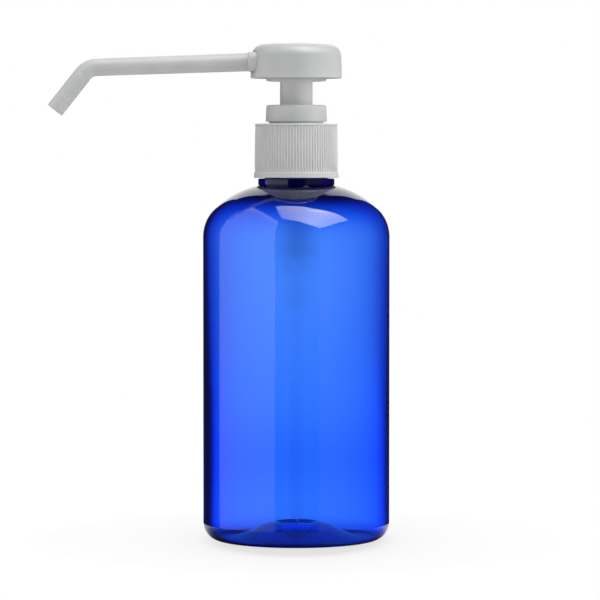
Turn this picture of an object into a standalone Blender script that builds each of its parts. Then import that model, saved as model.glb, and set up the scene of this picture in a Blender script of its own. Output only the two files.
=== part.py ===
"""Pump bottle: a half-litre round bottle closed by a lotion pump with a long bent spout.

The solids are placed as they sit on the closed bottle, with the pump head up. The bottle
stands on z = 0, and its axis, which the pump shares, is the Z axis. The spout points along -X.
Lengths are in metres and angles in degrees.
"""

import math

import bmesh
import bpy
from mathutils import Matrix, Vector

# Clearances and small finishes that all pieces share
SEAT_GAP = 0.0003
CUT_OVERRUN = 0.001
MERGE_DISTANCE = 0.00001

# Bottle: straight side, two-arc shoulder, neck with a support bead, pushed-up base
BOTTLE_RADIUS = 0.0370
BOTTLE_WALL = 0.0008
BOTTLE_SIDE_TOP = 0.1204
SHOULDER_RADIUS = 0.0162
SHOULDER_TURN = 46.7
CROWN_RADIUS = 0.0366
HEEL_RADIUS = 0.0070
FOOT_WIDTH = 0.0030
PUSH_UP_HEIGHT = 0.0036
PUSH_UP_CREST_RADIUS = 0.0165
GATE_PAD_RADIUS = 0.0070
GATE_PAD_RECESS = 0.0010
NECK_RADIUS = 0.01245
NECK_BORE_RADIUS = 0.0109
NECK_HEIGHT = 0.0165
NECK_EDGE = 0.0004
BEAD_RADIUS = 0.01512
BEAD_HEIGHT = 0.0024
BEAD_EDGE = 0.0004

# Closure: ribbed screw collar, held between the pump's flange and its lock ring
CLOSURE_BAND_RADIUS = 0.01667
CLOSURE_BAND_FLARE = 0.00013
CLOSURE_BAND_HEIGHT = 0.0023
CLOSURE_BORE_RADIUS = 0.0140
CLOSURE_ROOF = 0.0019
CLOSURE_RIM_RADIUS = 0.01643
CLOSURE_RIM_HEIGHT = 0.0007
CLOSURE_EDGE = 0.00055
RIB_COUNT = 88
RIB_FOOT_RADIUS = 0.01657
RIB_HEAD_RADIUS = 0.01635
RIB_DEPTH = 0.00032

# Gasket and pump housing
GASKET_RADIUS = 0.0132
GASKET_THICKNESS = 0.0010
FLANGE_RADIUS = 0.0133
FLANGE_THICKNESS = 0.0014
COLLAR_RADIUS = 0.01075
HOUSING_WALL = 0.0011
CYLINDER_RADIUS = 0.0075
CYLINDER_DEPTH = 0.0495
GUIDE_BORE_RADIUS = 0.0086
BALL_CHAMBER_RADIUS = 0.0037
BALL_CHAMBER_HEIGHT = 0.0060
INLET_RADIUS = 0.0020
INLET_LENGTH = 0.0033
TUBE_SOCKET_DEPTH = 0.0090
TUBE_SOCKET_WALL = 0.0013
HOUSING_TAPER_HEIGHT = 0.0030
VENT_WIDTH = 0.0010

# Lock ring: capped skirt over the housing's collar, with the sleeve that guides the stem
LIP_SHOW = 0.0008
LOCK_RING_HEIGHT = 0.0066
LOCK_RING_RADIUS = 0.01185
LOCK_RING_FLARE = 0.0003
LOCK_RING_ROOF = 0.0015
LOCK_RING_EDGE = 0.0008
SLEEVE_REACH = 0.0085

# Stem, valve rod, piston and spring
PUMP_STROKE = 0.0091
STEM_RADIUS = 0.00645
STEM_BORE_RADIUS = 0.0046
STEM_STOP_HEIGHT = 0.0015
PISTON_LAG = 0.0010
PISTON_HEIGHT = 0.0088
PISTON_SLEEVE_HEIGHT = 0.0037
PISTON_BORE_RADIUS = 0.0031
PISTON_WAIST_RADIUS = 0.0057
PISTON_LIP_HEIGHT = 0.0010
PISTON_LIP_SLOPE = 0.0012
PISTON_LIP_THICKNESS = 0.0008
ROD_RADIUS = 0.0022
ROD_FLANGE_RADIUS = 0.0042
ROD_FLANGE_HEIGHT = 0.0018
ROD_TAIL_EDGE = 0.0008
ROD_FIN_HEIGHT = 0.0090
ROD_FIN_THICKNESS = 0.0014
ROD_FIN_STANDOFF = 0.0012
SPRING_WIRE_RADIUS = 0.00045
SPRING_COIL_RADIUS = 0.0049
SPRING_TURNS = 9
SPRING_CLOSED_PITCH = 0.0015
SPRING_POINTS_PER_TURN = 9

# Inlet valve and dip tube
BALL_RADIUS = 0.00275
BALL_LIFT = 0.0012
SEAT_SLOPE = 45.0
RETAINER_THICKNESS = 0.0015
RETAINER_PIN_RADIUS = 0.0014
RETAINER_PORT_RADIUS = 0.0007
RETAINER_PORT_CIRCLE = 0.0027
RETAINER_PORTS = 6
ROD_TAIL_CLEARANCE = 0.0020
TUBE_RADIUS = 0.0029
TUBE_WALL = 0.0009
TUBE_FLOOR_CLEARANCE = 0.0015
TUBE_END_SLOPE = 40.0

# Pump head: hollow dome with a skirt, a stem socket, webs and a boss for the spout
HEAD_HEIGHT = 0.0139
HEAD_RADIUS = 0.01812
HEAD_TAPER = 0.00032
HEAD_CROWN_DROP = 0.0005
HEAD_CORNER_RADIUS = 0.0049
HEAD_WALL = 0.0014
HEAD_ROOF = 0.0016
HEAD_RIM_EDGE = 0.0002
SKIRT_RADIUS = 0.01187
SKIRT_WALL = 0.0014
SKIRT_DROP = 0.0012
SKIRT_EDGE = 0.0005
SOCKET_WALL = 0.0015
STEM_SEAT_DEPTH = 0.0045
WEB_THICKNESS = 0.0010
WEB_HEIGHT = 0.0060
WEB_ANGLES = (0, 60, 120, 240, 300)
BOSS_MARGIN = 0.0010
BOSS_NECK_RADIUS = 0.0052
CHAMBER_HEADROOM = 0.0012

# Spout: tapered tube with a flat oval root, one bend and a square-cut tip
SPOUT_RISE = 0.0064
SPOUT_DROOP = 1.95
SPOUT_REACH = 0.0643
SPOUT_BEND_RADIUS = 0.0050
SPOUT_TIP_ANGLE = 51.7
SPOUT_TIP_LENGTH = 0.0215
SPOUT_ROOT_RADIUS = 0.00363
SPOUT_END_RADIUS = 0.00347
SPOUT_SLEEVE_RADIUS = 0.00355
SPOUT_SLEEVE_START = 0.0031
SPOUT_BORE_RADIUS = 0.0024
SPOUT_ROOT_DEPTH = 0.0088
OVAL_WIDTH = 0.0178
OVAL_HEIGHT = 0.0077
OVAL_CORNER_RADIUS = 0.0030
OVAL_PROUD = 0.0007
OVAL_DEPTH = 0.0037
OVAL_EDGE = 0.0005

# Fineness of the round shapes
BOTTLE_STEPS = 44
BOTTLE_ARC_STEPS = 4
PUSH_UP_STEPS = 3
CLOSURE_STEPS = 44
HEAD_STEPS = 44
BARREL_STEPS = 32
INNER_STEPS = 24
BALL_STEPS = 16
BEND_STEPS = 7
ARC_STEPS = 5

# Heights worked out from the sizes above, bottom to top
SHOULDER_CENTRE = Vector((BOTTLE_RADIUS - SHOULDER_RADIUS, BOTTLE_SIDE_TOP))
CROWN_CENTRE = SHOULDER_CENTRE + (SHOULDER_RADIUS - CROWN_RADIUS) * Vector(
    (math.cos(math.radians(SHOULDER_TURN)), math.sin(math.radians(SHOULDER_TURN)))
)
BEAD_SEAT_RADIUS = BEAD_RADIUS - BEAD_EDGE / 2
BEAD_SEAT = CROWN_CENTRE.y + math.sqrt(CROWN_RADIUS**2 - (BEAD_SEAT_RADIUS - CROWN_CENTRE.x) ** 2)
BEAD_TOP = BEAD_SEAT + BEAD_HEIGHT
NECK_TOP = BEAD_TOP + NECK_HEIGHT
FLANGE_BOTTOM = NECK_TOP + SEAT_GAP + GASKET_THICKNESS + SEAT_GAP
FLANGE_TOP = FLANGE_BOTTOM + FLANGE_THICKNESS
CLOSURE_BOTTOM = BEAD_TOP + SEAT_GAP
CLOSURE_TOP = FLANGE_TOP + SEAT_GAP + CLOSURE_ROOF
LOCK_RING_BOTTOM = CLOSURE_TOP + LIP_SHOW
LOCK_RING_TOP = LOCK_RING_BOTTOM + LOCK_RING_HEIGHT
COLLAR_TOP = LOCK_RING_TOP - LOCK_RING_ROOF - SEAT_GAP
STEM_STOP_TOP = LOCK_RING_BOTTOM - SLEEVE_REACH - SEAT_GAP
STEM_BOTTOM = STEM_STOP_TOP - STEM_STOP_HEIGHT
PISTON_BOTTOM = STEM_BOTTOM - SEAT_GAP - PISTON_LAG - PISTON_HEIGHT
ROD_FLANGE_BOTTOM = PISTON_BOTTOM - SEAT_GAP - ROD_FLANGE_HEIGHT
CYLINDER_FLOOR = FLANGE_BOTTOM - CYLINDER_DEPTH
RETAINER_TOP = CYLINDER_FLOOR + SEAT_GAP + RETAINER_THICKNESS
ROD_BOTTOM = RETAINER_TOP + PUMP_STROKE + ROD_TAIL_CLEARANCE
INLET_TOP = (
    CYLINDER_FLOOR
    - BALL_CHAMBER_HEIGHT
    - (BALL_CHAMBER_RADIUS - INLET_RADIUS) * math.tan(math.radians(SEAT_SLOPE))
)
TUBE_CEILING = INLET_TOP - INLET_LENGTH
HOUSING_BOTTOM = TUBE_CEILING - TUBE_SOCKET_DEPTH
BALL_CENTRE = (
    INLET_TOP
    - INLET_RADIUS * math.tan(math.radians(SEAT_SLOPE))
    + (BALL_RADIUS + SEAT_GAP) / math.cos(math.radians(SEAT_SLOPE))
)
TUBE_BOTTOM = PUSH_UP_HEIGHT + BOTTLE_WALL + TUBE_FLOOR_CLEARANCE
SKIRT_BOTTOM = LOCK_RING_TOP + SEAT_GAP + PUMP_STROKE
HEAD_RIM = SKIRT_BOTTOM + SKIRT_DROP
STEM_TOP = SKIRT_BOTTOM + STEM_SEAT_DEPTH
SPOUT_AXIS = HEAD_RIM + SPOUT_RISE

# Bores and outer walls that follow the pieces they hold
STEM_GUIDE_RADIUS = STEM_RADIUS + SEAT_GAP
SLEEVE_RADIUS = GUIDE_BORE_RADIUS - SEAT_GAP
SLIDING_RADIUS = CYLINDER_RADIUS - SEAT_GAP
COLLAR_CLEARANCE_RADIUS = COLLAR_RADIUS + SEAT_GAP
TUBE_SOCKET_RADIUS = TUBE_RADIUS + SEAT_GAP
SOCKET_RADIUS = STEM_GUIDE_RADIUS + SOCKET_WALL


def clear_scene():
    """Remove whatever the open file holds, so that the model stands alone."""
    for scene_object in list(bpy.data.objects):
        bpy.data.objects.remove(scene_object, do_unlink=True)
    for collection in list(bpy.data.collections):
        bpy.data.collections.remove(collection)


def make_collection(name):
    """Return a new collection in the scene."""
    collection = bpy.data.collections.new(name)
    bpy.context.scene.collection.children.link(collection)
    return collection


def make_material(name, colour, roughness, transmission=0.0):
    """Return a Principled material for one sub-part."""
    material = bpy.data.materials.new(name)
    material.use_nodes = True
    shader = material.node_tree.nodes["Principled BSDF"]
    shader.inputs["Base Color"].default_value = (*colour, 1.0)
    shader.inputs["Roughness"].default_value = roughness
    shader.inputs["Metallic"].default_value = 0.0
    shader.inputs["Transmission Weight"].default_value = transmission
    material.diffuse_color = (*colour, 1.0)
    return material


class Kit:
    """The two collections, and the ways in which a piece or a cutter is added to them."""

    def __init__(self, name):
        self.parts = make_collection(name)
        self.cutters = make_collection(name + "_cutters")

    def empty(self, name, location, parent=None):
        """Add an empty that carries pieces, at a place given in its parent's frame."""
        carrier = bpy.data.objects.new(name, None)
        carrier.empty_display_size = BOTTLE_RADIUS
        carrier.location = location
        carrier.parent = parent
        self.parts.objects.link(carrier)
        return carrier

    def add(self, name, mesh, material=None, parent=None, height=0.0):
        """Add a mesh as a part, or as a cutter where it has no material.

        The height is the world height of the mesh's own zero, which lies on the Z axis.
        """
        piece = bpy.data.objects.new(name, mesh)
        if material is None:
            self.cutters.objects.link(piece)
            piece.hide_render = True
            piece.display_type = "WIRE"
        else:
            self.parts.objects.link(piece)
            mesh.materials.append(material)
        piece.parent = parent
        bottom = 0.0 if parent is None else parent.location.z
        piece.location = (0, 0, height - bottom)
        return piece

    def lathe(self, name, section, steps, material=None, parent=None, height=0.0):
        """Turn a section of (radius, height) points about Z.

        The section runs clockwise with the radius to the right, which is down its outer side.
        One that begins and ends on the axis stays open there, and any other is closed. A cutter
        is turned by half a step, so that its edges miss those of the piece that it cuts.
        """
        mesh = bpy.data.meshes.new(name)
        shape = bmesh.new()
        points = [shape.verts.new((radius, 0, z)) for radius, z in section]
        for start, end in zip(points, points[1:]):
            shape.edges.new((start, end))
        if section[0][0] > 0 or section[-1][0] > 0:
            shape.edges.new((points[-1], points[0]))
        shape.to_mesh(mesh)
        shape.free()
        piece = self.add(name, mesh, material, parent, height)
        if material is None:
            piece.rotation_euler.z = math.pi / steps
        turn = piece.modifiers.new("turn", "SCREW")
        turn.axis = "Z"
        turn.angle = 2 * math.pi
        turn.steps = steps
        turn.render_steps = steps
        turn.use_merge_vertices = True
        turn.merge_threshold = MERGE_DISTANCE
        return piece

    def box(self, name, low, high, corner=0.0, corner_axis=0, material=None, parent=None):
        """Add a box between two corners, with its edges along one axis rounded if asked."""
        shape = bmesh.new()
        bmesh.ops.create_cube(shape, size=1.0)
        low, high = Vector(low), Vector(high)
        size = high - low
        bmesh.ops.transform(
            shape,
            matrix=Matrix.Translation((low + high) / 2) @ Matrix.Diagonal((*size, 1)),
            verts=shape.verts,
        )
        if corner > 0:
            edges = [e for e in shape.edges if is_along(e, corner_axis)]
            bmesh.ops.bevel(
                shape,
                geom=edges,
                offset=corner,
                segments=ARC_STEPS,
                profile=0.5,
                affect="EDGES",
            )
        mesh = bpy.data.meshes.new(name)
        shape.to_mesh(mesh)
        shape.free()
        return self.add(name, mesh, material, parent, 0 if parent is None else parent.location.z)

    def tube(self, name, points, radii, resolution, material=None, parent=None):
        """Run a round tube along points, with a radius at each, as one closed mesh."""
        curve = bpy.data.curves.new(name + "_path", "CURVE")
        curve.dimensions = "3D"
        curve.bevel_depth = max(radii)
        curve.bevel_resolution = resolution
        curve.use_fill_caps = True
        spline = curve.splines.new("POLY")
        spline.points.add(len(points) - 1)
        for place, point, radius in zip(spline.points, points, radii):
            place.co = (*point, 1)
            place.radius = radius / max(radii)
        guide = bpy.data.objects.new(name + "_path", curve)
        self.cutters.objects.link(guide)
        bpy.context.view_layer.update()
        depsgraph = bpy.context.evaluated_depsgraph_get()
        mesh = bpy.data.meshes.new_from_object(guide.evaluated_get(depsgraph))
        bpy.data.objects.remove(guide, do_unlink=True)
        shape = bmesh.new()
        shape.from_mesh(mesh)
        bmesh.ops.remove_doubles(shape, verts=shape.verts, dist=MERGE_DISTANCE)
        bmesh.ops.recalc_face_normals(shape, faces=shape.faces)
        shape.to_mesh(mesh)
        shape.free()
        mesh.name = name
        return self.add(name, mesh, material, parent, 0 if parent is None else parent.location.z)


def is_along(edge, axis):
    """Say whether a box's edge runs along the axis with that number."""
    run = edge.verts[1].co - edge.verts[0].co
    return abs(run[axis]) > run.length / 2


def combine(piece, tool, operation="DIFFERENCE"):
    """Cut a piece with a tool, or join the tool to it."""
    step = piece.modifiers.new(operation.lower() + "_" + tool.name, "BOOLEAN")
    step.operation = operation
    step.solver = "EXACT"
    step.object = tool


def smooth(piece):
    """Shade a round piece smooth, with its flat faces kept flat."""
    if piece.data.polygons:
        piece.data.shade_smooth()
    normals = piece.modifiers.new("normals", "WEIGHTED_NORMAL")
    normals.keep_sharp = True


def arc(centre, radius, start, end, steps):
    """Return points of a circle between two angles, both ends included."""
    points = []
    for step in range(steps + 1):
        angle = math.radians(start + (end - start) * step / steps)
        points.append(
            (centre[0] + radius * math.cos(angle), centre[1] + radius * math.sin(angle))
        )
    return points


def blend(start, end, share):
    """Pass smoothly from one value to another as the share goes from 0 to 1."""
    return start + (end - start) * (1 - math.cos(math.pi * share)) / 2


def push_up(lift):
    """Return the base's middle, from the foot to the gate pad, raised by the lift."""
    turns = (
        (BOTTLE_RADIUS - HEEL_RADIUS - FOOT_WIDTH, 0),
        (PUSH_UP_CREST_RADIUS, PUSH_UP_HEIGHT),
        (GATE_PAD_RADIUS, GATE_PAD_RECESS),
    )
    points = []
    for (radius, height), (next_radius, next_height) in zip(turns, turns[1:]):
        for step in range(1, PUSH_UP_STEPS + 1):
            share = step / PUSH_UP_STEPS
            inward = radius + (next_radius - radius) * share
            points.append((inward, blend(height, next_height, share) + lift))
    return points


def bottle_side(inset):
    """Return the bottle's side from the crown down to the foot, moved inwards by the inset."""
    crown = CROWN_RADIUS - inset
    shoulder = SHOULDER_RADIUS - inset
    heel = HEEL_RADIUS - inset
    reach = NECK_BORE_RADIUS if inset > 0 else BEAD_SEAT_RADIUS
    top = math.degrees(math.acos((reach - CROWN_CENTRE.x) / crown))
    points = arc(CROWN_CENTRE, crown, top, SHOULDER_TURN, BOTTLE_ARC_STEPS)
    points += arc(SHOULDER_CENTRE, shoulder, SHOULDER_TURN, 0, BOTTLE_ARC_STEPS)[1:]
    points += arc((BOTTLE_RADIUS - HEEL_RADIUS, HEEL_RADIUS), heel, 0, -90, BOTTLE_ARC_STEPS)
    points.append((BOTTLE_RADIUS - HEEL_RADIUS - FOOT_WIDTH, inset))
    return points


def make_bottle(kit, material):
    """Bottle: one blown wall, thicker at the neck, with the mouth open."""
    inside = [(0, GATE_PAD_RECESS + BOTTLE_WALL)]
    inside += reversed(bottle_side(BOTTLE_WALL) + push_up(BOTTLE_WALL))
    neck = [
        (NECK_BORE_RADIUS, NECK_TOP),
        (NECK_RADIUS - NECK_EDGE, NECK_TOP),
        (NECK_RADIUS, NECK_TOP - NECK_EDGE),
        (NECK_RADIUS, BEAD_TOP),
        (BEAD_RADIUS - BEAD_EDGE, BEAD_TOP),
        (BEAD_RADIUS, BEAD_TOP - BEAD_EDGE),
        (BEAD_RADIUS, BEAD_SEAT + BEAD_EDGE),
    ]
    outside = bottle_side(0) + push_up(0) + [(0, GATE_PAD_RECESS)]
    bottle = kit.lathe("bottle", inside + neck + outside, BOTTLE_STEPS, material)
    smooth(bottle)
    return bottle


def make_rib_ring(kit, low, high, parent):
    """Ring of upright ribs, tapering to the top, as one solid to be joined to the closure."""
    points_per_rib = 4
    around = RIB_COUNT * points_per_rib
    shape = bmesh.new()
    bmesh.ops.create_cone(
        shape,
        cap_ends=True,
        segments=around,
        radius1=RIB_FOOT_RADIUS,
        radius2=RIB_HEAD_RADIUS,
        depth=high - low,
        matrix=Matrix.Translation((0, 0, (high + low) / 2)),
    )
    for vert in shape.verts:
        place = round(math.atan2(vert.co.y, vert.co.x) * around / (2 * math.pi))
        if place % points_per_rib < points_per_rib / 2:
            inward = vert.co.xy.normalized() * RIB_DEPTH
            vert.co.xy = vert.co.xy - inward
    mesh = bpy.data.meshes.new("closure_ribs")
    shape.to_mesh(mesh)
    shape.free()
    ring = kit.add("closure_ribs", mesh, None, parent, CLOSURE_BOTTOM)
    ring.rotation_euler.z = math.pi / around
    return ring


def make_closure(kit, material, parent):
    """Closure: plain band, ribbed grip and rim, bored for the neck and the housing's collar."""
    height = CLOSURE_TOP - CLOSURE_BOTTOM
    rib_top = height - CLOSURE_RIM_HEIGHT
    core = RIB_HEAD_RADIUS - 2 * RIB_DEPTH
    form = [
        (0, height),
        (CLOSURE_RIM_RADIUS - CLOSURE_EDGE, height),
        (CLOSURE_RIM_RADIUS, height - CLOSURE_EDGE),
        (CLOSURE_RIM_RADIUS, rib_top),
        (core, rib_top),
        (core, CLOSURE_BAND_HEIGHT),
        (CLOSURE_BAND_RADIUS, CLOSURE_BAND_HEIGHT),
        (CLOSURE_BAND_RADIUS + CLOSURE_BAND_FLARE, 0),
        (0, 0),
    ]
    cavity = [
        (0, height + CUT_OVERRUN),
        (COLLAR_CLEARANCE_RADIUS, height + CUT_OVERRUN),
        (COLLAR_CLEARANCE_RADIUS, height - CLOSURE_ROOF),
        (CLOSURE_BORE_RADIUS, height - CLOSURE_ROOF),
        (CLOSURE_BORE_RADIUS, -CUT_OVERRUN),
        (0, -CUT_OVERRUN),
    ]
    closure = kit.lathe("closure", form, CLOSURE_STEPS, material, parent, CLOSURE_BOTTOM)
    sink = (CLOSURE_RIM_HEIGHT - CLOSURE_EDGE) / 2
    ribs = make_rib_ring(kit, CLOSURE_BAND_HEIGHT - sink, rib_top + sink, parent)
    hollow = kit.lathe(
        "closure_cavity", cavity, CLOSURE_STEPS, None, parent, CLOSURE_BOTTOM
    )
    combine(closure, ribs, "UNION")
    combine(closure, hollow)
    smooth(closure)
    return closure


def make_gasket(kit, material, parent):
    """Flat ring between the neck's top and the housing's flange."""
    section = [
        (NECK_BORE_RADIUS, GASKET_THICKNESS),
        (GASKET_RADIUS, GASKET_THICKNESS),
        (GASKET_RADIUS, 0),
        (NECK_BORE_RADIUS, 0),
    ]
    gasket = kit.lathe(
        "neck_gasket", section, BARREL_STEPS, material, parent, NECK_TOP + SEAT_GAP
    )
    smooth(gasket)
    return gasket


def make_housing(kit, material, parent):
    """Housing: collar, flange, stepped pump cylinder, ball seat and dip tube socket."""
    guide_wall = GUIDE_BORE_RADIUS + HOUSING_WALL
    cylinder_wall = CYLINDER_RADIUS + HOUSING_WALL
    guide_floor = STEM_STOP_TOP
    chamber_floor = CYLINDER_FLOOR - BALL_CHAMBER_HEIGHT
    spigot = TUBE_SOCKET_RADIUS + TUBE_SOCKET_WALL
    section = [
        (GUIDE_BORE_RADIUS, COLLAR_TOP),
        (COLLAR_RADIUS, COLLAR_TOP),
        (COLLAR_RADIUS, FLANGE_TOP),
        (FLANGE_RADIUS, FLANGE_TOP),
        (FLANGE_RADIUS, FLANGE_BOTTOM),
        (guide_wall, FLANGE_BOTTOM),
        (guide_wall, guide_floor - HOUSING_WALL),
        (cylinder_wall, guide_floor - 2 * HOUSING_WALL),
        (cylinder_wall, CYLINDER_FLOOR - HOUSING_WALL),
        (BALL_CHAMBER_RADIUS + HOUSING_WALL, CYLINDER_FLOOR - HOUSING_WALL - HOUSING_TAPER_HEIGHT),
        (BALL_CHAMBER_RADIUS + HOUSING_WALL, INLET_TOP),
        (spigot, INLET_TOP - HOUSING_WALL),
        (spigot, HOUSING_BOTTOM),
        (TUBE_SOCKET_RADIUS, HOUSING_BOTTOM),
        (TUBE_SOCKET_RADIUS, TUBE_CEILING),
        (INLET_RADIUS, TUBE_CEILING),
        (INLET_RADIUS, INLET_TOP),
        (BALL_CHAMBER_RADIUS, chamber_floor),
        (BALL_CHAMBER_RADIUS, CYLINDER_FLOOR),
        (CYLINDER_RADIUS, CYLINDER_FLOOR),
        (CYLINDER_RADIUS, guide_floor),
        (GUIDE_BORE_RADIUS, guide_floor),
    ]
    section = [(radius, z - FLANGE_BOTTOM) for radius, z in section]
    housing = kit.lathe("housing", section, BARREL_STEPS, material, parent, FLANGE_BOTTOM)
    vent_height = PISTON_BOTTOM + PISTON_HEIGHT / 2 - parent.location.z
    half = VENT_WIDTH / 2
    vent = kit.box(
        "housing_vent",
        (CYLINDER_RADIUS - CUT_OVERRUN, -half, vent_height - half),
        (cylinder_wall + CUT_OVERRUN, half, vent_height + half),
        parent=parent,
    )
    combine(housing, vent)
    smooth(housing)
    return housing


def make_lock_ring(kit, material, parent):
    """Lock ring: skirt over the housing's collar, roof, and sleeve down into the housing."""
    edge_centre = (LOCK_RING_RADIUS - LOCK_RING_EDGE, LOCK_RING_HEIGHT - LOCK_RING_EDGE)
    roof = LOCK_RING_HEIGHT - LOCK_RING_ROOF
    section = [(STEM_GUIDE_RADIUS, LOCK_RING_HEIGHT)]
    section += arc(edge_centre, LOCK_RING_EDGE, 90, 0, 3)
    section += [
        (LOCK_RING_RADIUS + LOCK_RING_FLARE, 0),
        (COLLAR_CLEARANCE_RADIUS, 0),
        (COLLAR_CLEARANCE_RADIUS, roof),
        (SLEEVE_RADIUS, roof),
        (SLEEVE_RADIUS, -SLEEVE_REACH),
        (STEM_GUIDE_RADIUS, -SLEEVE_REACH),
    ]
    ring = kit.lathe("lock_ring", section, CLOSURE_STEPS, material, parent, LOCK_RING_BOTTOM)
    smooth(ring)
    return ring


def make_stem(kit, material, parent):
    """Stem: hollow shank that joins the head to the piston, with a stop ring at its foot."""
    length = STEM_TOP - STEM_BOTTOM
    section = [
        (STEM_BORE_RADIUS, length),
        (STEM_RADIUS, length),
        (STEM_RADIUS, STEM_STOP_HEIGHT),
        (SLIDING_RADIUS, STEM_STOP_HEIGHT),
        (SLIDING_RADIUS, 0),
        (STEM_BORE_RADIUS, 0),
    ]
    stem = kit.lathe("stem", section, BARREL_STEPS, material, parent, STEM_BOTTOM)
    smooth(stem)
    return stem


def make_piston(kit, material, parent):
    """Piston: two wiping lips, a waist, and a sleeve that slides inside the stem."""
    sleeve = STEM_BORE_RADIUS - SEAT_GAP
    lip_inner = SLIDING_RADIUS - PISTON_LIP_THICKNESS
    shoulder = PISTON_LIP_HEIGHT + PISTON_LIP_SLOPE
    section = [
        (PISTON_BORE_RADIUS, PISTON_HEIGHT + PISTON_SLEEVE_HEIGHT),
        (sleeve, PISTON_HEIGHT + PISTON_SLEEVE_HEIGHT),
        (sleeve, PISTON_HEIGHT - shoulder),
        (lip_inner, PISTON_HEIGHT),
        (SLIDING_RADIUS, PISTON_HEIGHT),
        (SLIDING_RADIUS, PISTON_HEIGHT - PISTON_LIP_HEIGHT),
        (PISTON_WAIST_RADIUS, PISTON_HEIGHT - shoulder),
        (PISTON_WAIST_RADIUS, shoulder),
        (SLIDING_RADIUS, PISTON_LIP_HEIGHT),
        (SLIDING_RADIUS, 0),
        (lip_inner, 0),
        (sleeve, shoulder),
        (ROD_FLANGE_RADIUS, 0),
        (PISTON_BORE_RADIUS, 0),
    ]
    piston = kit.lathe("piston", section, INNER_STEPS, material, parent, PISTON_BOTTOM)
    smooth(piston)
    return piston


def make_rod(kit, material, parent):
    """Valve rod: finned plug in the stem, shank through the piston, valve flange and tail."""
    zero = parent.location.z
    fin_bottom = PISTON_BOTTOM + PISTON_HEIGHT + PISTON_SLEEVE_HEIGHT + ROD_FIN_STANDOFF
    fin_bottom += SEAT_GAP + PISTON_LAG
    fin_top = fin_bottom + ROD_FIN_HEIGHT
    section = [
        (0, fin_top),
        (ROD_RADIUS, fin_top),
        (ROD_RADIUS, ROD_FLANGE_BOTTOM + ROD_FLANGE_HEIGHT),
        (ROD_FLANGE_RADIUS, ROD_FLANGE_BOTTOM + ROD_FLANGE_HEIGHT),
        (SPRING_COIL_RADIUS + SPRING_WIRE_RADIUS, ROD_FLANGE_BOTTOM + ROD_FLANGE_HEIGHT / 2),
        (SPRING_COIL_RADIUS + SPRING_WIRE_RADIUS, ROD_FLANGE_BOTTOM),
        (ROD_RADIUS, ROD_FLANGE_BOTTOM),
        (ROD_RADIUS, ROD_BOTTOM + ROD_TAIL_EDGE),
        (ROD_RADIUS - ROD_TAIL_EDGE, ROD_BOTTOM),
        (0, ROD_BOTTOM),
    ]
    section = [(radius, z - ROD_FLANGE_BOTTOM) for radius, z in section]
    rod = kit.lathe("valve_rod", section, INNER_STEPS, material, parent, ROD_FLANGE_BOTTOM)
    reach = STEM_BORE_RADIUS - SEAT_GAP
    half = ROD_FIN_THICKNESS / 2
    for name, across in (("rod_fin_x", (reach, half)), ("rod_fin_y", (half, reach))):
        fin = kit.box(
            name,
            (-across[0], -across[1], fin_bottom - zero),
            (across[0], across[1], fin_top - ROD_TAIL_EDGE - zero),
            parent=parent,
        )
        combine(rod, fin, "UNION")
    smooth(rod)
    return rod


def spring_points():
    """Return the coil's centre line: closed end turns, and open turns between them."""
    low = RETAINER_TOP + SEAT_GAP + SPRING_WIRE_RADIUS
    high = ROD_FLANGE_BOTTOM - SEAT_GAP - SPRING_WIRE_RADIUS
    open_turns = SPRING_TURNS - 2
    open_pitch = (high - low - 2 * SPRING_CLOSED_PITCH) / open_turns
    points = []
    for step in range(SPRING_TURNS * SPRING_POINTS_PER_TURN + 1):
        turns = step / SPRING_POINTS_PER_TURN
        closed = min(turns, 1) + max(turns - 1 - open_turns, 0)
        opened = min(max(turns - 1, 0), open_turns)
        angle = 2 * math.pi * turns
        points.append(
            Vector(
                (
                    SPRING_COIL_RADIUS * math.cos(angle),
                    SPRING_COIL_RADIUS * math.sin(angle),
                    low + closed * SPRING_CLOSED_PITCH + opened * open_pitch,
                )
            )
        )
    return points


def least_coil_gap(points):
    """Measure the clear space between turns of the wire, on the centre line's points."""
    near = SPRING_POINTS_PER_TURN // 2
    closest = min(
        (first - second).length
        for index, first in enumerate(points)
        for second in points[index + near :]
    )
    return closest - 2 * SPRING_WIRE_RADIUS


def make_spring(kit, material, parent):
    """Return spring: one unbroken wire between the retainer and the rod's flange."""
    points = spring_points()
    print(f"return_spring: least gap to itself {least_coil_gap(points) * 1000:.2f} mm")
    points = [point - Vector((0, 0, parent.location.z)) for point in points]
    radii = [SPRING_WIRE_RADIUS] * len(points)
    spring = kit.tube("return_spring", points, radii, 1, material, parent)
    spring.data.shade_smooth()
    return spring


def make_ball(kit, material, parent):
    """Inlet ball, resting on the housing's cone."""
    shape = bmesh.new()
    bmesh.ops.create_uvsphere(
        shape, u_segments=BALL_STEPS, v_segments=BALL_STEPS // 2, radius=BALL_RADIUS
    )
    mesh = bpy.data.meshes.new("inlet_ball")
    shape.to_mesh(mesh)
    shape.free()
    ball = kit.add("inlet_ball", mesh, material, parent, BALL_CENTRE)
    ball.data.shade_smooth()
    return ball


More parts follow.
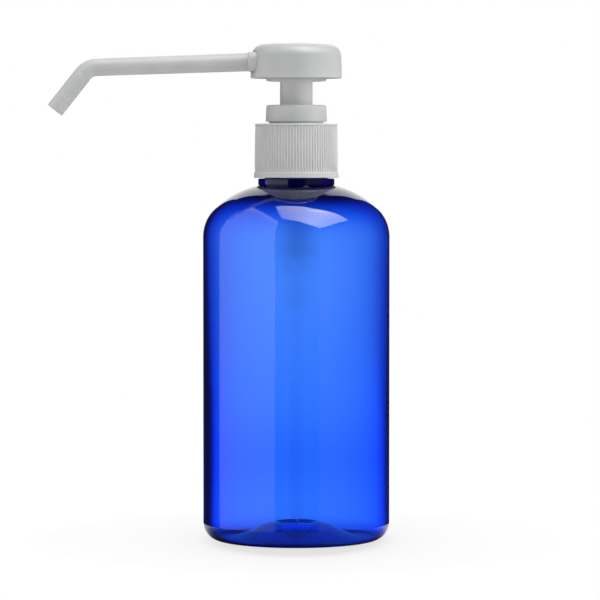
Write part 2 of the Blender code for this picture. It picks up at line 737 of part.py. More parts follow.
def make_retainer(kit, material, parent):
    """Spring seat that keeps the ball in: ported disc with a pin over the ball."""
    pin = RETAINER_TOP - RETAINER_THICKNESS - (BALL_CENTRE + BALL_RADIUS + BALL_LIFT + SEAT_GAP)
    section = [
        (0, RETAINER_THICKNESS),
        (SLIDING_RADIUS, RETAINER_THICKNESS),
        (SLIDING_RADIUS, 0),
        (RETAINER_PIN_RADIUS, 0),
        (RETAINER_PIN_RADIUS, -pin),
        (0, -pin),
    ]
    height = RETAINER_TOP - RETAINER_THICKNESS
    retainer = kit.lathe("ball_retainer", section, INNER_STEPS, material, parent, height)
    shape = bmesh.new()
    for port in range(RETAINER_PORTS):
        turn = Matrix.Rotation(2 * math.pi * port / RETAINER_PORTS, 4, "Z")
        out = Matrix.Translation((RETAINER_PORT_CIRCLE, 0, RETAINER_THICKNESS / 2))
        bmesh.ops.create_cone(
            shape,
            cap_ends=True,
            segments=INNER_STEPS // 3,
            radius1=RETAINER_PORT_RADIUS,
            radius2=RETAINER_PORT_RADIUS,
            depth=RETAINER_THICKNESS + 2 * CUT_OVERRUN,
            matrix=turn @ out,
        )
    mesh = bpy.data.meshes.new("retainer_ports")
    shape.to_mesh(mesh)
    shape.free()
    ports = kit.add("retainer_ports", mesh, None, parent, height)
    ports.rotation_euler.z = math.pi / INNER_STEPS
    combine(retainer, ports)
    smooth(retainer)
    return retainer


def make_dip_tube(kit, material, parent):
    """Dip tube: from the housing's socket to just above the base, cut on a slant."""
    top = TUBE_CEILING - SEAT_GAP
    section = [
        (TUBE_RADIUS - TUBE_WALL, top - TUBE_BOTTOM),
        (TUBE_RADIUS, top - TUBE_BOTTOM),
        (TUBE_RADIUS, 0),
        (TUBE_RADIUS - TUBE_WALL, 0),
    ]
    tube = kit.lathe("dip_tube", section, INNER_STEPS, material, parent, TUBE_BOTTOM)
    span = 2 * (TUBE_RADIUS + CUT_OVERRUN)
    slant = kit.box("tube_slant", (-span, -span, -2 * span), (span, span, 0))
    slant.rotation_euler = (0, math.radians(TUBE_END_SLOPE), 0)
    slant.location = (
        0,
        0,
        TUBE_BOTTOM + (TUBE_RADIUS - TUBE_WALL / 2) * math.tan(math.radians(TUBE_END_SLOPE)),
    )
    combine(tube, slant)
    smooth(tube)
    return tube


def head_form():
    """Return the head's solid outer form: crowned top, round corner, side, rim and skirt.

    The skirt is left a little fat, and the hollow around it trims it to its radius.
    """
    top = HEAD_HEIGHT
    shoulder = HEAD_RADIUS - HEAD_TAPER
    slope = math.atan(2 * HEAD_CROWN_DROP / (shoulder - HEAD_CORNER_RADIUS))
    crown_edge = shoulder - HEAD_CORNER_RADIUS * (1 - math.sin(slope))
    corner = (
        shoulder - HEAD_CORNER_RADIUS,
        top - HEAD_CROWN_DROP - HEAD_CORNER_RADIUS * math.cos(slope),
    )
    section = [(0, top)]
    for share in (0.3, 0.6, 0.8):
        section.append((crown_edge * share, top - HEAD_CROWN_DROP * share**2))
    section += arc(corner, HEAD_CORNER_RADIUS, 90 - math.degrees(slope), 0, ARC_STEPS + 2)
    section += [
        (HEAD_RADIUS, HEAD_RIM_EDGE),
        (HEAD_RADIUS - HEAD_RIM_EDGE, 0),
        (SKIRT_RADIUS + SKIRT_EDGE, 0),
        (SKIRT_RADIUS + SKIRT_EDGE, 2 * SKIRT_EDGE - SKIRT_DROP),
        (SKIRT_RADIUS - SKIRT_EDGE, -SKIRT_DROP),
        (0, -SKIRT_DROP),
    ]
    return section


def make_head_cavities(kit, parent):
    """Ring hollows under the head: one outside the skirt and one inside it."""
    roof = HEAD_HEIGHT - HEAD_ROOF
    shell = HEAD_RADIUS - HEAD_WALL
    ceiling = shell - HEAD_TAPER - HEAD_CORNER_RADIUS / 2
    outer = [
        (SKIRT_RADIUS, roof),
        (ceiling, roof),
        (shell - HEAD_TAPER, roof - HEAD_CORNER_RADIUS / 2),
        (shell, -SKIRT_DROP - CUT_OVERRUN),
        (SKIRT_RADIUS, -SKIRT_DROP - CUT_OVERRUN),
    ]
    inner = [
        (SOCKET_RADIUS, roof),
        (SKIRT_RADIUS - SKIRT_WALL, roof),
        (SKIRT_RADIUS - SKIRT_WALL, -SKIRT_DROP - CUT_OVERRUN),
        (SOCKET_RADIUS, -SKIRT_DROP - CUT_OVERRUN),
    ]
    return (
        kit.lathe("head_outer_hollow", outer, HEAD_STEPS, None, parent, HEAD_RIM),
        kit.lathe("head_inner_hollow", inner, HEAD_STEPS, None, parent, HEAD_RIM),
    )


def make_head_fill(kit, parent):
    """Webs and spout boss that stay inside the hollows, with the dome's own outer bound."""
    zero = HEAD_RIM - parent.location.z
    roof = HEAD_HEIGHT + CUT_OVERRUN + zero
    web_low = HEAD_HEIGHT - HEAD_ROOF - WEB_HEIGHT + zero
    shape = bmesh.new()
    for angle in WEB_ANGLES:
        size = Matrix.Diagonal((HEAD_RADIUS - STEM_GUIDE_RADIUS, WEB_THICKNESS, roof - web_low, 1))
        out = Matrix.Translation(
            ((HEAD_RADIUS + STEM_GUIDE_RADIUS) / 2, 0, (roof + web_low) / 2)
        )
        turn = Matrix.Rotation(math.radians(angle), 4, "Z")
        bmesh.ops.create_cube(shape, size=1.0, matrix=turn @ out @ size)
    mesh = bpy.data.meshes.new("head_webs")
    shape.to_mesh(mesh)
    shape.free()
    webs = kit.add("head_webs", mesh, None, parent, parent.location.z)
    half_width = OVAL_WIDTH / 2 + SEAT_GAP + BOSS_MARGIN
    low = zero + SPOUT_RISE - OVAL_HEIGHT / 2 - SEAT_GAP - BOSS_MARGIN
    back = OVAL_DEPTH + SEAT_GAP + BOSS_MARGIN - HEAD_RADIUS
    plate = kit.box(
        "head_boss_plate",
        (-HEAD_RADIUS - CUT_OVERRUN, -half_width, low),
        (back, half_width, roof),
        parent=parent,
    )
    neck = kit.box(
        "head_boss_neck",
        (back - BOSS_MARGIN, -BOSS_NECK_RADIUS, zero + SPOUT_RISE - BOSS_NECK_RADIUS),
        (-STEM_GUIDE_RADIUS, BOSS_NECK_RADIUS, roof),
        parent=parent,
    )
    combine(webs, plate, "UNION")
    combine(webs, neck, "UNION")
    return webs


def make_oval(kit, name, grow, front, material, parent):
    """Flat oval block across the spout's root, grown all round for the recess that takes it."""
    return kit.box(
        name,
        (front, -OVAL_WIDTH / 2 - grow, -OVAL_HEIGHT / 2 - grow),
        (OVAL_DEPTH + grow, OVAL_WIDTH / 2 + grow, OVAL_HEIGHT / 2 + grow),
        corner=OVAL_CORNER_RADIUS + grow,
        corner_axis=0,
        material=material,
        parent=parent,
    )


def make_head(kit, material, parent, spout_axis):
    """Pump head: dome hollowed from below, bored for the stem and for the spout."""
    head = kit.lathe("pump_head", head_form(), HEAD_STEPS, material, parent, HEAD_RIM)
    fill = make_head_fill(kit, parent)
    for hollow in make_head_cavities(kit, parent):
        combine(hollow, fill)
        combine(head, hollow)
    seat = STEM_TOP - HEAD_RIM + SEAT_GAP
    ceiling = SPOUT_RISE + SPOUT_BORE_RADIUS + CHAMBER_HEADROOM
    chamber = [
        (0, ceiling),
        (STEM_BORE_RADIUS, ceiling),
        (STEM_BORE_RADIUS, seat),
        (STEM_GUIDE_RADIUS, seat),
        (STEM_GUIDE_RADIUS, -SKIRT_DROP - CUT_OVERRUN),
        (0, -SKIRT_DROP - CUT_OVERRUN),
    ]
    combine(head, kit.lathe("head_stem_bore", chamber, BARREL_STEPS, None, parent, HEAD_RIM))
    recess = make_oval(
        kit, "head_oval_recess", SEAT_GAP, -OVAL_PROUD - CUT_OVERRUN, None, spout_axis
    )
    combine(head, recess)
    bore_end = SPOUT_ROOT_DEPTH + SEAT_GAP
    root = SPOUT_ROOT_RADIUS + SEAT_GAP
    socket = kit.tube(
        "head_spout_bore", [(0, 0, 0), (bore_end, 0, 0)], [root, root], 3, None, spout_axis
    )
    channel = kit.tube(
        "head_channel",
        [(0, 0, 0), (HEAD_RADIUS - STEM_BORE_RADIUS / 2, 0, 0)],
        [SPOUT_BORE_RADIUS, SPOUT_BORE_RADIUS],
        2,
        None,
        spout_axis,
    )
    combine(head, socket)
    combine(head, channel)
    smooth(head)
    return head


def spout_path(overrun):
    """Return the spout's centre line in its own frame, and the tube's radius at each point."""
    turn = math.radians(SPOUT_TIP_ANGLE - SPOUT_DROOP)
    tangent = SPOUT_BEND_RADIUS * math.tan(turn / 2)
    corner = Vector((-SPOUT_REACH, 0, 0))
    down = Vector((-math.cos(turn), 0, -math.sin(turn)))
    points = [Vector((SPOUT_ROOT_DEPTH + overrun, 0, 0)), Vector((OVAL_DEPTH / 2, 0, 0))]
    radii = [SPOUT_ROOT_RADIUS, SPOUT_ROOT_RADIUS]
    for step in range(BEND_STEPS + 1):
        angle = turn * step / BEND_STEPS
        across = Vector((-math.sin(angle), 0, math.cos(angle) - 1)) * SPOUT_BEND_RADIUS
        points.append(corner + Vector((tangent, 0, 0)) + across)
        radii.append(SPOUT_END_RADIUS)
    step_length = SPOUT_SLEEVE_RADIUS - SPOUT_END_RADIUS
    for distance, radius in (
        (SPOUT_SLEEVE_START, SPOUT_END_RADIUS),
        (SPOUT_SLEEVE_START + step_length, SPOUT_SLEEVE_RADIUS),
        (SPOUT_TIP_LENGTH + overrun, SPOUT_SLEEVE_RADIUS),
    ):
        points.append(corner + down * distance)
        radii.append(radius)
    return points, radii


def make_spout(kit, material, spout_axis):
    """Spout: tube and flat oval root as one moulding, bored through."""
    points, radii = spout_path(0)
    spout = kit.tube("spout", points, radii, 3, material, spout_axis)
    oval = make_oval(kit, "spout_oval", 0, -OVAL_PROUD, None, spout_axis)
    edge = oval.modifiers.new("front_edge", "BEVEL")
    edge.width = OVAL_EDGE
    edge.segments = 2
    edge.limit_method = "ANGLE"
    edge.angle_limit = math.radians(60)
    combine(spout, oval, "UNION")
    points, radii = spout_path(CUT_OVERRUN)
    bore = kit.tube(
        "spout_bore", points, [SPOUT_BORE_RADIUS] * len(points), 2, None, spout_axis
    )
    combine(spout, bore)
    smooth(spout)
    return spout


def main():
    clear_scene()
    kit = Kit("pump_bottle")
    white = (0.72, 0.73, 0.74)
    make_bottle(kit, make_material("bottle_blue", (0.03, 0.12, 0.86), 0.06, 0.9))

    pump_unit = kit.empty("pump_unit", (0, 0, NECK_TOP))
    make_gasket(kit, make_material("gasket_foam", (0.82, 0.82, 0.80), 0.9), pump_unit)
    make_housing(kit, make_material("housing_natural", (0.80, 0.82, 0.84), 0.35), pump_unit)
    make_lock_ring(kit, make_material("lock_ring_white", white, 0.38), pump_unit)
    make_retainer(kit, make_material("retainer_white", white, 0.4), pump_unit)
    make_dip_tube(kit, make_material("tube_clear", (0.80, 0.84, 0.88), 0.25, 0.6), pump_unit)
    make_ball(kit, make_material("ball_glass", (0.75, 0.80, 0.80), 0.08), pump_unit)

    closure_axis = kit.empty("closure_axis", (0, 0, CLOSURE_BOTTOM))
    make_closure(kit, make_material("closure_white", white, 0.42), closure_axis)

    plunger = kit.empty("plunger", (0, 0, LOCK_RING_TOP))
    make_rod(kit, make_material("rod_natural", (0.80, 0.81, 0.80), 0.4), plunger)
    make_piston(kit, make_material("piston_natural", (0.85, 0.85, 0.83), 0.45), plunger)
    spring_steel = make_material("spring_steel", (0.60, 0.61, 0.63), 0.25)
    spring_steel.node_tree.nodes["Principled BSDF"].inputs["Metallic"].default_value = 1.0
    make_spring(kit, spring_steel, pump_unit)

    head_axis = kit.empty("head_axis", (0, 0, LOCK_RING_TOP))
    make_stem(kit, make_material("stem_white", (0.60, 0.60, 0.60), 0.4), head_axis)
    spout_axis = kit.empty(
        "spout_axis", (-HEAD_RADIUS, 0, SPOUT_AXIS - LOCK_RING_TOP), head_axis
    )
    spout_axis.rotation_euler = (0, -math.radians(SPOUT_DROOP), 0)
    make_head(kit, make_material("head_white", white, 0.36), head_axis, spout_axis)
    make_spout(kit, make_material("spout_white", (0.74, 0.75, 0.76), 0.34), spout_axis)


main()
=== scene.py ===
"""Looks of the pump bottle: a clear blue round bottle with a white lotion pump and a long spout.

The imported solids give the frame. Each sub-assembly is a class that builds its fine meshes in
metres, in the same frame, dresses them and hangs them on the bodies that carry them.
"""

import logging
import math
from dataclasses import dataclass, field
from enum import Enum

import bmesh
import bpy
from mathutils import Matrix, Vector

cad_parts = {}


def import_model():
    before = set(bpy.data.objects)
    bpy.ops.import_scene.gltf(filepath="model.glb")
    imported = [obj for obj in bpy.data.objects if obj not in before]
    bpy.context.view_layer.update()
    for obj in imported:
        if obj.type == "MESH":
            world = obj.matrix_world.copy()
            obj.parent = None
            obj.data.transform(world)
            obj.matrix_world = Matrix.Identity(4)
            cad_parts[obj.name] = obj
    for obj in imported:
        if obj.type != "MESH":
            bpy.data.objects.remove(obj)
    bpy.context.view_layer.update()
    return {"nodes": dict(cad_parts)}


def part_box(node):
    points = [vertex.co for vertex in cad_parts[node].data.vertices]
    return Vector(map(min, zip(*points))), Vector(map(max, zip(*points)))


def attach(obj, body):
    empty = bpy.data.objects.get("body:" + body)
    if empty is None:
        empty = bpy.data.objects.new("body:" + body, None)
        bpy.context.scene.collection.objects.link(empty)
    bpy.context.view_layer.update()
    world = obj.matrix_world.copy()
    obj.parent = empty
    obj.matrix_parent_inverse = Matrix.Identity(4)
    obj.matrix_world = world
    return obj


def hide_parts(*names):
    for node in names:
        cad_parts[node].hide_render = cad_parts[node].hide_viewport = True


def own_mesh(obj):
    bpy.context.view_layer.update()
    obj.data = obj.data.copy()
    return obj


LOG = logging.getLogger("pump_bottle")
INNER_FACE = "inner_face"
MERGE = 1e-6
SEAT_GAP = 0.0003
OVERCUT = 0.001

# Turned sections: the flat held past a rounding, the room that it needs, the share of an edge
# that a rounding may take, and the usual roundings.
HOLD = 0.00018
HOLD_ROOM = 2.2
ROUNDED_SHARE = 0.46
SHARP, FINE, SOFT, ROUND = 0.0001, 0.0002, 0.0003, 0.0004

# Most values of a noise texture lie in this span.
NOISE_SPAN = (0.3, 0.7)

# Ribs and threads: how a bar starts, thins out and sinks into its wall.
RIB_STEPS = 7
RIB_TIP = 0.35
RIB_FADE = 12.0
THIN_END = 0.05
THREAD_PITCH = 0.0032
THREAD_FADE = 0.08
THREAD_SINK = 0.0002

Corner = tuple[float, float, float]
Point = tuple[float, float]
Colour = tuple[float, float, float]
Socket = bpy.types.NodeSocket
Piece = bpy.types.Object
Material = bpy.types.Material


class Operation(Enum):
    """How a tool changes the piece that it meets."""

    CUT = "DIFFERENCE"
    JOIN = "UNION"


class Body(Enum):
    """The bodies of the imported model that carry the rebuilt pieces."""

    BOTTLE = "bottle_body"
    PUMP = "pump_body"
    CLOSURE = "closure_body"
    HEAD = "head_body"


# Node trees


class Graph:
    """A node tree with short ways to add nodes and join them."""

    def __init__(self, tree: bpy.types.NodeTree) -> None:
        """Hold the tree.

        Args:
            tree: The tree that the nodes go into.
        """
        self.tree = tree

    def feed(self, socket: Socket, value: object) -> None:
        """Give an input its own value, or join it to the socket that holds one.

        Args:
            socket: The input.
            value: A socket, or a value that the input takes. A colour has three parts.
        """
        if isinstance(value, Socket):
            self.tree.links.new(value, socket)
        else:
            socket.default_value = (*value, 1.0) if socket.type == "RGBA" else value

    def fill(self, node: bpy.types.Node, inputs: dict[str | int, object]) -> None:
        """Give several inputs of a node, by name or place, their values or sockets."""
        for name, value in inputs.items():
            self.feed(node.inputs[name], value)

    def add(self, kind: str, inputs: dict[str | int, object] | None = None,
            **settings: object) -> bpy.types.Node:
        """Add a node.

        Args:
            kind: The node's type in Blender.
            inputs: What goes into its inputs, by name or place: values or sockets.
            settings: Properties of the node, by name.

        Returns:
            The new node.
        """
        node = self.tree.nodes.new(kind)
        for name, value in settings.items():
            setattr(node, name, value)
        self.fill(node, inputs or {})
        return node

    def math(self, operation: str, *values: object) -> Socket:
        """Add a sum of one or more values. More than two are taken one after the other.

        Args:
            operation: The operation's name in Blender.
            values: Sockets or numbers.

        Returns:
            The socket that holds the result.
        """
        if len(values) > 2:
            values = (self.math(operation, *values[:-1]), values[-1])
        return self.add("ShaderNodeMath", dict(enumerate(values)), operation=operation).outputs[0]

    def mix(self, share: object, first: object, second: object, blend: str = "MIX") -> Socket:
        """Mix two colours.

        Args:
            share: A socket or a number, 0 for the first colour and 1 for the second.
            first: A socket or an RGB colour.
            second: A socket or an RGB colour.
            blend: How the second colour is laid over the first.

        Returns:
            The socket that holds the mixed colour.
        """
        node = self.add("ShaderNodeMix", data_type="RGBA", blend_type=blend)
        self.fill(node, {0: share, 6: first, 7: second})
        return node.outputs[2]

    def ramp(self, value: Socket, stops: list[tuple[float, Colour]]) -> Socket:
        """Map a value onto colours.

        Args:
            value: The socket to map.
            stops: The value and the colour of each stop, in rising order.

        Returns:
            The socket that holds the colour.
        """
        node = self.add("ShaderNodeValToRGB", {"Fac": value})
        elements = node.color_ramp.elements
        while len(elements) < len(stops):
            elements.new(1.0)
        for element, (position, colour) in zip(elements, stops):
            element.position = position
            element.color = (*colour, 1.0)
        return node.outputs["Color"]

    def spread(self, value: Socket, low: float, high: float, start: float,
               end: float, smooth: bool = False) -> Socket:
        """Map a range of values onto another, held at its ends.

        Args:
            value: The socket to map.
            low: The value that gives the start.
            high: The value that gives the end.
            start: The result at the low value.
            end: The result at the high value.
            smooth: Whether the change eases in and out.

        Returns:
            The socket that holds the mapped value.
        """
        return self.add("ShaderNodeMapRange", {
            "Value": value, "From Min": low, "From Max": high, "To Min": start, "To Max": end,
        }, interpolation_type="SMOOTHSTEP" if smooth else "LINEAR").outputs["Result"]

    def place(self) -> Socket:
        """Return the object's own coordinates."""
        return self.add("ShaderNodeTexCoord").outputs["Object"]

    def parts(self, vector: Socket) -> bpy.types.bpy_prop_collection:
        """Return the sockets of a vector's three parts."""
        return self.add("ShaderNodeSeparateXYZ", {0: vector}).outputs

    def length(self, vector: Socket) -> Socket:
        """Return a vector's length."""
        return self.add("ShaderNodeVectorMath", {0: vector}, operation="LENGTH").outputs["Value"]

    def noise(self, scale: float, detail: float = 2.0) -> Socket:
        """Return noise in the object's own coordinates."""
        return self.add("ShaderNodeTexNoise", {
            "Vector": self.place(), "Scale": scale, "Detail": detail}).outputs["Fac"]

    def bump(self, height: Socket, strength: float, distance: float) -> Socket:
        """Return the normal of a surface that a height lifts by up to a distance."""
        return self.add("ShaderNodeBump", {
            "Height": height, "Strength": strength, "Distance": distance}).outputs["Normal"]

    def rays(self) -> tuple[bpy.types.bpy_prop_collection, Socket]:
        """Tell the kinds of ray apart.

        Returns:
            The light path's sockets, and the one that marks rays that are mirrored only. A
            refracted ray counts as glossy as well, and isn't marked.
        """
        path = self.add("ShaderNodeLightPath").outputs
        plain = self.math("SUBTRACT", 1.0, path["Is Transmission Ray"])
        return path, self.math("MULTIPLY", path["Is Glossy Ray"], plain)


# Finishes


def new_material(name: str) -> tuple[Material, Graph, bpy.types.Node]:
    """Start a material with its Principled shader.

    Args:
        name: The material's name.

    Returns:
        The material, its graph and its shader.
    """
    material = bpy.data.materials.new(name)
    material.use_nodes = True
    graph = Graph(material.node_tree)
    return material, graph, material.node_tree.nodes["Principled BSDF"]


@dataclass(frozen=True)
class MouldedPlastic:
    """Satin injection-moulded plastic with faint flow marks and fine grain.

    The glow is the share of the light that sinks in, down to about the depth. Uneven says
    how far the roughness goes down and up.
    """

    name: str
    colour: Colour
    roughness: float
    glow: float = 0.5
    depth: float = 0.004
    uneven: Point = (-0.04, 0.05)
    flow: float = 0.03
    flow_scale: float = 90.0
    grain: float = 0.00001
    grain_scale: float = 5200.0
    grain_strength: float = 0.35

    def material(self) -> Material:
        """Build the material.

        Returns:
            The material.
        """
        material, graph, shader = new_material(self.name)
        flow = graph.noise(self.flow_scale, 3.0)
        light = tuple(min(1.0, part * (1 + self.flow)) for part in self.colour)
        dark = tuple(part * (1 - self.flow) for part in self.colour)
        graph.fill(shader, {
            "Base Color": graph.mix(graph.spread(flow, *NOISE_SPAN, 0.0, 1.0), dark, light),
            "Roughness": graph.spread(flow, *NOISE_SPAN, *(
                self.roughness + change for change in self.uneven)),
            "Normal": graph.bump(graph.noise(self.grain_scale), self.grain_strength, self.grain),
            "IOR": 1.49,
            "Subsurface Weight": self.glow,
            "Subsurface Radius": (1.0, 0.95, 0.9),
            "Subsurface Scale": self.depth,
        })
        return material


@dataclass(frozen=True)
class BlownPlastic:
    """Clear coloured bottle plastic with a deeper base and neck and painted shade.

    The wall's colour is its volume's. Towards the base and the neck the surface adds a deeper
    colour, partly for a thicker blown wall and partly as painted shade. At the base, shoulder
    and neck it darkens further as painted shade: the table by height holds the added depth and
    the share of light that the painted shade lets through. Where the eye looks along the wall,
    the colour at each slant deepens to near black: partly the longer path through the wall,
    partly painted shade at the edges. One side of the bottle has more painted shade than the
    other, and the sinks shift the painted edge shade with the height. The inner face has a haze
    that rises from the base.
    """

    name: str
    height: float = 0.16
    colour: Colour = (0.0, 0.494, 0.986)
    density: float = 1833.0
    depth_tint: Colour = (2.7, 1.448, 0.06)
    # Heights with the added depth and the share of light let through. The depth deepens the colour
    # towards the base and the neck, partly as painted shade. A share below one is painted shade at
    # the base, shoulder and neck.
    wall_depth_and_painted_shade: tuple[Corner, ...] = (
        (0.0, 0.9, 0.6), (0.003, 0.6, 0.8), (0.006, 0.35, 1.0), (0.0104, 0.3, 1.0),
        (0.016, 0.33, 1.0), (0.032, 0.46, 1.0), (0.056, 0.23, 1.0),
        (0.080, 0.10, 1.0), (0.0992, 0.02, 1.0), (0.120, 0.0, 1.0), (0.1256, 0.12, 1.0),
        (0.1290, 0.4, 1.0), (0.1310, 0.65, 0.9), (0.1322, 0.9, 0.75), (0.1332, 1.15, 0.5),
        (0.1340, 1.35, 0.3), (0.1348, 1.6, 0.12), (0.1356, 2.0, 0.03), (0.1366, 2.4, 0.01),
        (0.1405, 3.0, 0.03), (0.1440, 3.0, 0.04),
    )
    # Colour at each slant. It grows darker as the eye looks along the wall and is near black at the
    # edges: partly the longer path through the wall, partly painted shade.
    grazing_shade: tuple[tuple[float, Colour], ...] = (
        (0.30, (1.0, 1.0, 1.0)), (0.46, (0.84, 0.84, 1.0)), (0.54, (0.60, 0.64, 0.98)),
        (0.61, (0.33, 0.44, 0.93)), (0.655, (0.19, 0.32, 0.79)), (0.70, (0.03, 0.08, 0.36)),
        (0.735, (0.0, 0.02, 0.13)), (0.80, (0.0, 0.0, 0.02)),
    )
    # Painted shade: one side of the bottle darker than the other, and the edge shade shifted with
    # the height, each changing over the given heights.
    change: Point = (0.055, 0.120)
    side_shade: Point = (-2.2, -1.6)
    sink: Point = (0.04, -0.06)
    foot_change: Point = (0.010, 0.030)
    foot_sink: Point = (-0.02, 0.0)
    haze: float = 0.38
    haze_rise: Point = (0.012, 0.100)
    wave: float = 0.0002
    wave_scale: float = 38.0
    wave_strength: float = 0.12

    def depth_and_shade_tint(self, depth: float, share: float) -> Colour:
        """Return the surface colour that adds a depth of plastic and painted shade over the near
        and the far wall.

        Args:
            depth: The added depth, in thicknesses of the plain wall.
            share: The share of the light that the painted shade still lets through.

        Returns:
            The colour. A ray meets four surfaces, and each takes its square root.
        """
        return tuple(math.sqrt(share) * math.exp(-depth * part / 2) for part in self.depth_tint)

    def material(self) -> Material:
        """Build the material.

        Returns:
            The material.
        """
        material, graph, shader = new_material(self.name)
        side, _, level = graph.parts(graph.place())
        # Deeper colour by height, with painted shade at the base, shoulder and neck.
        depth_and_painted_shade = graph.ramp(graph.math("DIVIDE", level, self.height), [
            (height / self.height, self.depth_and_shade_tint(depth, share)) for height, depth, share in self.wall_depth_and_painted_shade])
        # Painted shade: one side of the bottle darker than the other, and the edge shade shifted
        # with the height.
        uneven = graph.math("MULTIPLY", side, graph.spread(level, *self.change, *self.side_shade))
        sunk = graph.math("ADD", graph.spread(level, *self.change, *self.sink),
                          graph.spread(level, *self.foot_change, *self.foot_sink))
        # The slant's colour paints dark edges on the bottle, beyond what the longer path through
        # the wall gives.
        facing = graph.add("ShaderNodeLayerWeight", {"Blend": 0.5}).outputs["Facing"]
        slant = graph.math("ADD", facing, graph.math("ADD", uneven, sunk))
        inner = graph.add("ShaderNodeAttribute", attribute_name=INNER_FACE).outputs["Fac"]
        haze = graph.spread(level, *self.haze_rise, 0.0, self.haze, smooth=True)
        graph.fill(shader, {
            "Base Color": graph.mix(1.0, depth_and_painted_shade, graph.ramp(slant, list(self.grazing_shade)),
                                    "MULTIPLY"),
            "Normal": graph.bump(graph.noise(self.wave_scale, 1.0), self.wave_strength,
                                 self.wave),
            "Roughness": graph.math("MULTIPLY", inner, haze),
            "IOR": 1.5,
            "Transmission Weight": 1.0,
        })
        volume = graph.add("ShaderNodeVolumeAbsorption", {
            "Color": self.colour, "Density": self.density})
        graph.fill(material.node_tree.nodes["Material Output"], {
            "Volume": volume.outputs["Volume"]})
        return material


@dataclass(frozen=True)
class NaturalPlastic:
    """Uncoloured plastic that lets light through: pump barrel, piston, rod and dip tube.

    The shade is the share of the colour that its cloudy parts keep.
    """

    name: str
    colour: Colour
    roughness: float
    ior: float
    uneven: Point = (-0.03, 0.05)
    shade: float = 0.96
    cloud_scale: float = 240.0
    opaque_above: float = 0.0
    # The opaque top is lighter than the other whites: painted light that lifts the shade in the gap
    # between the lock ring and the closure.
    opaque_colour_painted_light: Colour = (0.88, 0.885, 0.89)
    opaque_edge: float = 0.0004

    def material(self) -> Material:
        """Build the material, opaque above a height where one is given.

        Returns:
            The material.
        """
        material, graph, shader = new_material(self.name)
        cloud = graph.noise(self.cloud_scale)
        dark = tuple(part * self.shade for part in self.colour)
        colour = graph.mix(cloud, dark, self.colour)
        clearness = 1.0
        if self.opaque_above > 0:
            level = graph.parts(graph.place())["Z"]
            ends = (self.opaque_above, self.opaque_above + self.opaque_edge)
            cover = graph.spread(level, *ends, 0.0, 1.0)
            # Opaque above the height, in a light colour that paints light into the shaded gap under
            # the lock ring.
            colour = graph.mix(cover, colour, self.opaque_colour_painted_light)
            clearness = graph.math("SUBTRACT", 1.0, cover)
        graph.fill(shader, {
            "Base Color": colour,
            "Roughness": graph.spread(cloud, *NOISE_SPAN, *(
                self.roughness + change for change in self.uneven)),
            "IOR": self.ior,
            "Transmission Weight": clearness,
        })
        return material


@dataclass(frozen=True)
class DrawnSteel:
    """Bright spring wire with fine drawing marks around it."""

    name: str
    colour: Colour = (0.88, 0.885, 0.89)
    shade: float = 0.85
    mark_scale: float = 2600.0
    roughness: Point = (0.18, 0.34)

    def material(self) -> Material:
        """Build the material.

        Returns:
            The material.
        """
        material, graph, shader = new_material(self.name)
        marks = graph.noise(self.mark_scale)
        dark = tuple(part * self.shade for part in self.colour)
        graph.fill(shader, {
            "Base Color": graph.mix(marks, dark, self.colour),
            "Metallic": 1.0,
            "Roughness": graph.spread(marks, *NOISE_SPAN, *self.roughness),
        })
        return material


@dataclass(frozen=True)
class ClosedFoam:
    """White sealing foam with fine closed cells."""

    name: str
    colour: Colour = (0.8, 0.8, 0.78)
    cell: float = 0.00004
    cell_scale: float = 2400.0
    cell_strength: float = 0.5
    shade: float = 0.86

    def material(self) -> Material:
        """Build the material.

        Returns:
            The material.
        """
        material, graph, shader = new_material(self.name)
        cells = graph.add("ShaderNodeTexVoronoi", {
            "Vector": graph.place(), "Scale": self.cell_scale}).outputs["Distance"]
        dark = tuple(part * self.shade for part in self.colour)
        graph.fill(shader, {
            "Base Color": graph.mix(cells, self.colour, dark),
            "Normal": graph.bump(cells, self.cell_strength, self.cell),
            "Roughness": 0.9,
        })
        return material


# Shaping tools


def arc(centre: Point, radius: float, start: float, end: float, steps: int) -> list[Corner]:
    """Return corners of a turned section along a circle.

    Args:
        centre: The circle's centre, as radius and height.
        radius: The circle's radius.
        start: The first angle, in degrees.
        end: The last angle, in degrees.
        steps: How many steps lie between them.

    Returns:
        The corners, each with no rounding of its own.
    """
    corners = []
    for step in range(steps + 1):
        angle = math.radians(start + (end - start) * step / steps)
        corners.append((centre[0] + radius * math.cos(angle),
                        centre[1] + radius * math.sin(angle), 0.0))
    return corners


def rounded(section: list[Corner], steps: int = 4) -> list[Point]:
    """Round the corners of a turned section, with a point held just past each rounding.

    Args:
        section: Corners as radius, height and rounding. The last joins the first, unless both
            lie on the axis.
        steps: How many steps each rounding has.

    Returns:
        The points of the rounded section.
    """
    count = len(section)
    opened = section[0][0] == 0 and section[-1][0] == 0
    points: list[Point] = []
    for index, (radius, height, rounding) in enumerate(section):
        here = Vector((radius, height))
        if rounding <= 0 or (opened and index in (0, count - 1)):
            points.append((radius, height))
            continue
        before = Vector(section[index - 1][:2]) - here
        after = Vector(section[(index + 1) % count][:2]) - here
        half = before.angle(after) / 2
        reach = min(rounding / math.tan(half), ROUNDED_SHARE * before.length,
                    ROUNDED_SHARE * after.length)
        turn = reach * math.tan(half)
        start, end = here + before.normalized() * reach, here + after.normalized() * reach
        centre = here + (before.normalized() + after.normalized()).normalized() * (
            turn / math.sin(half))
        if before.length > HOLD_ROOM * reach + HOLD:
            points.append(tuple(start + before.normalized() * HOLD))
        first, last = start - centre, end - centre
        for step in range(steps + 1):
            share = step / steps
            spoke = first.slerp(last, share) if first.angle(last) > 1e-4 else first
            points.append(tuple(centre + spoke.normalized() * turn))
        if after.length > HOLD_ROOM * reach + HOLD:
            points.append(tuple(end + after.normalized() * HOLD))
    return points


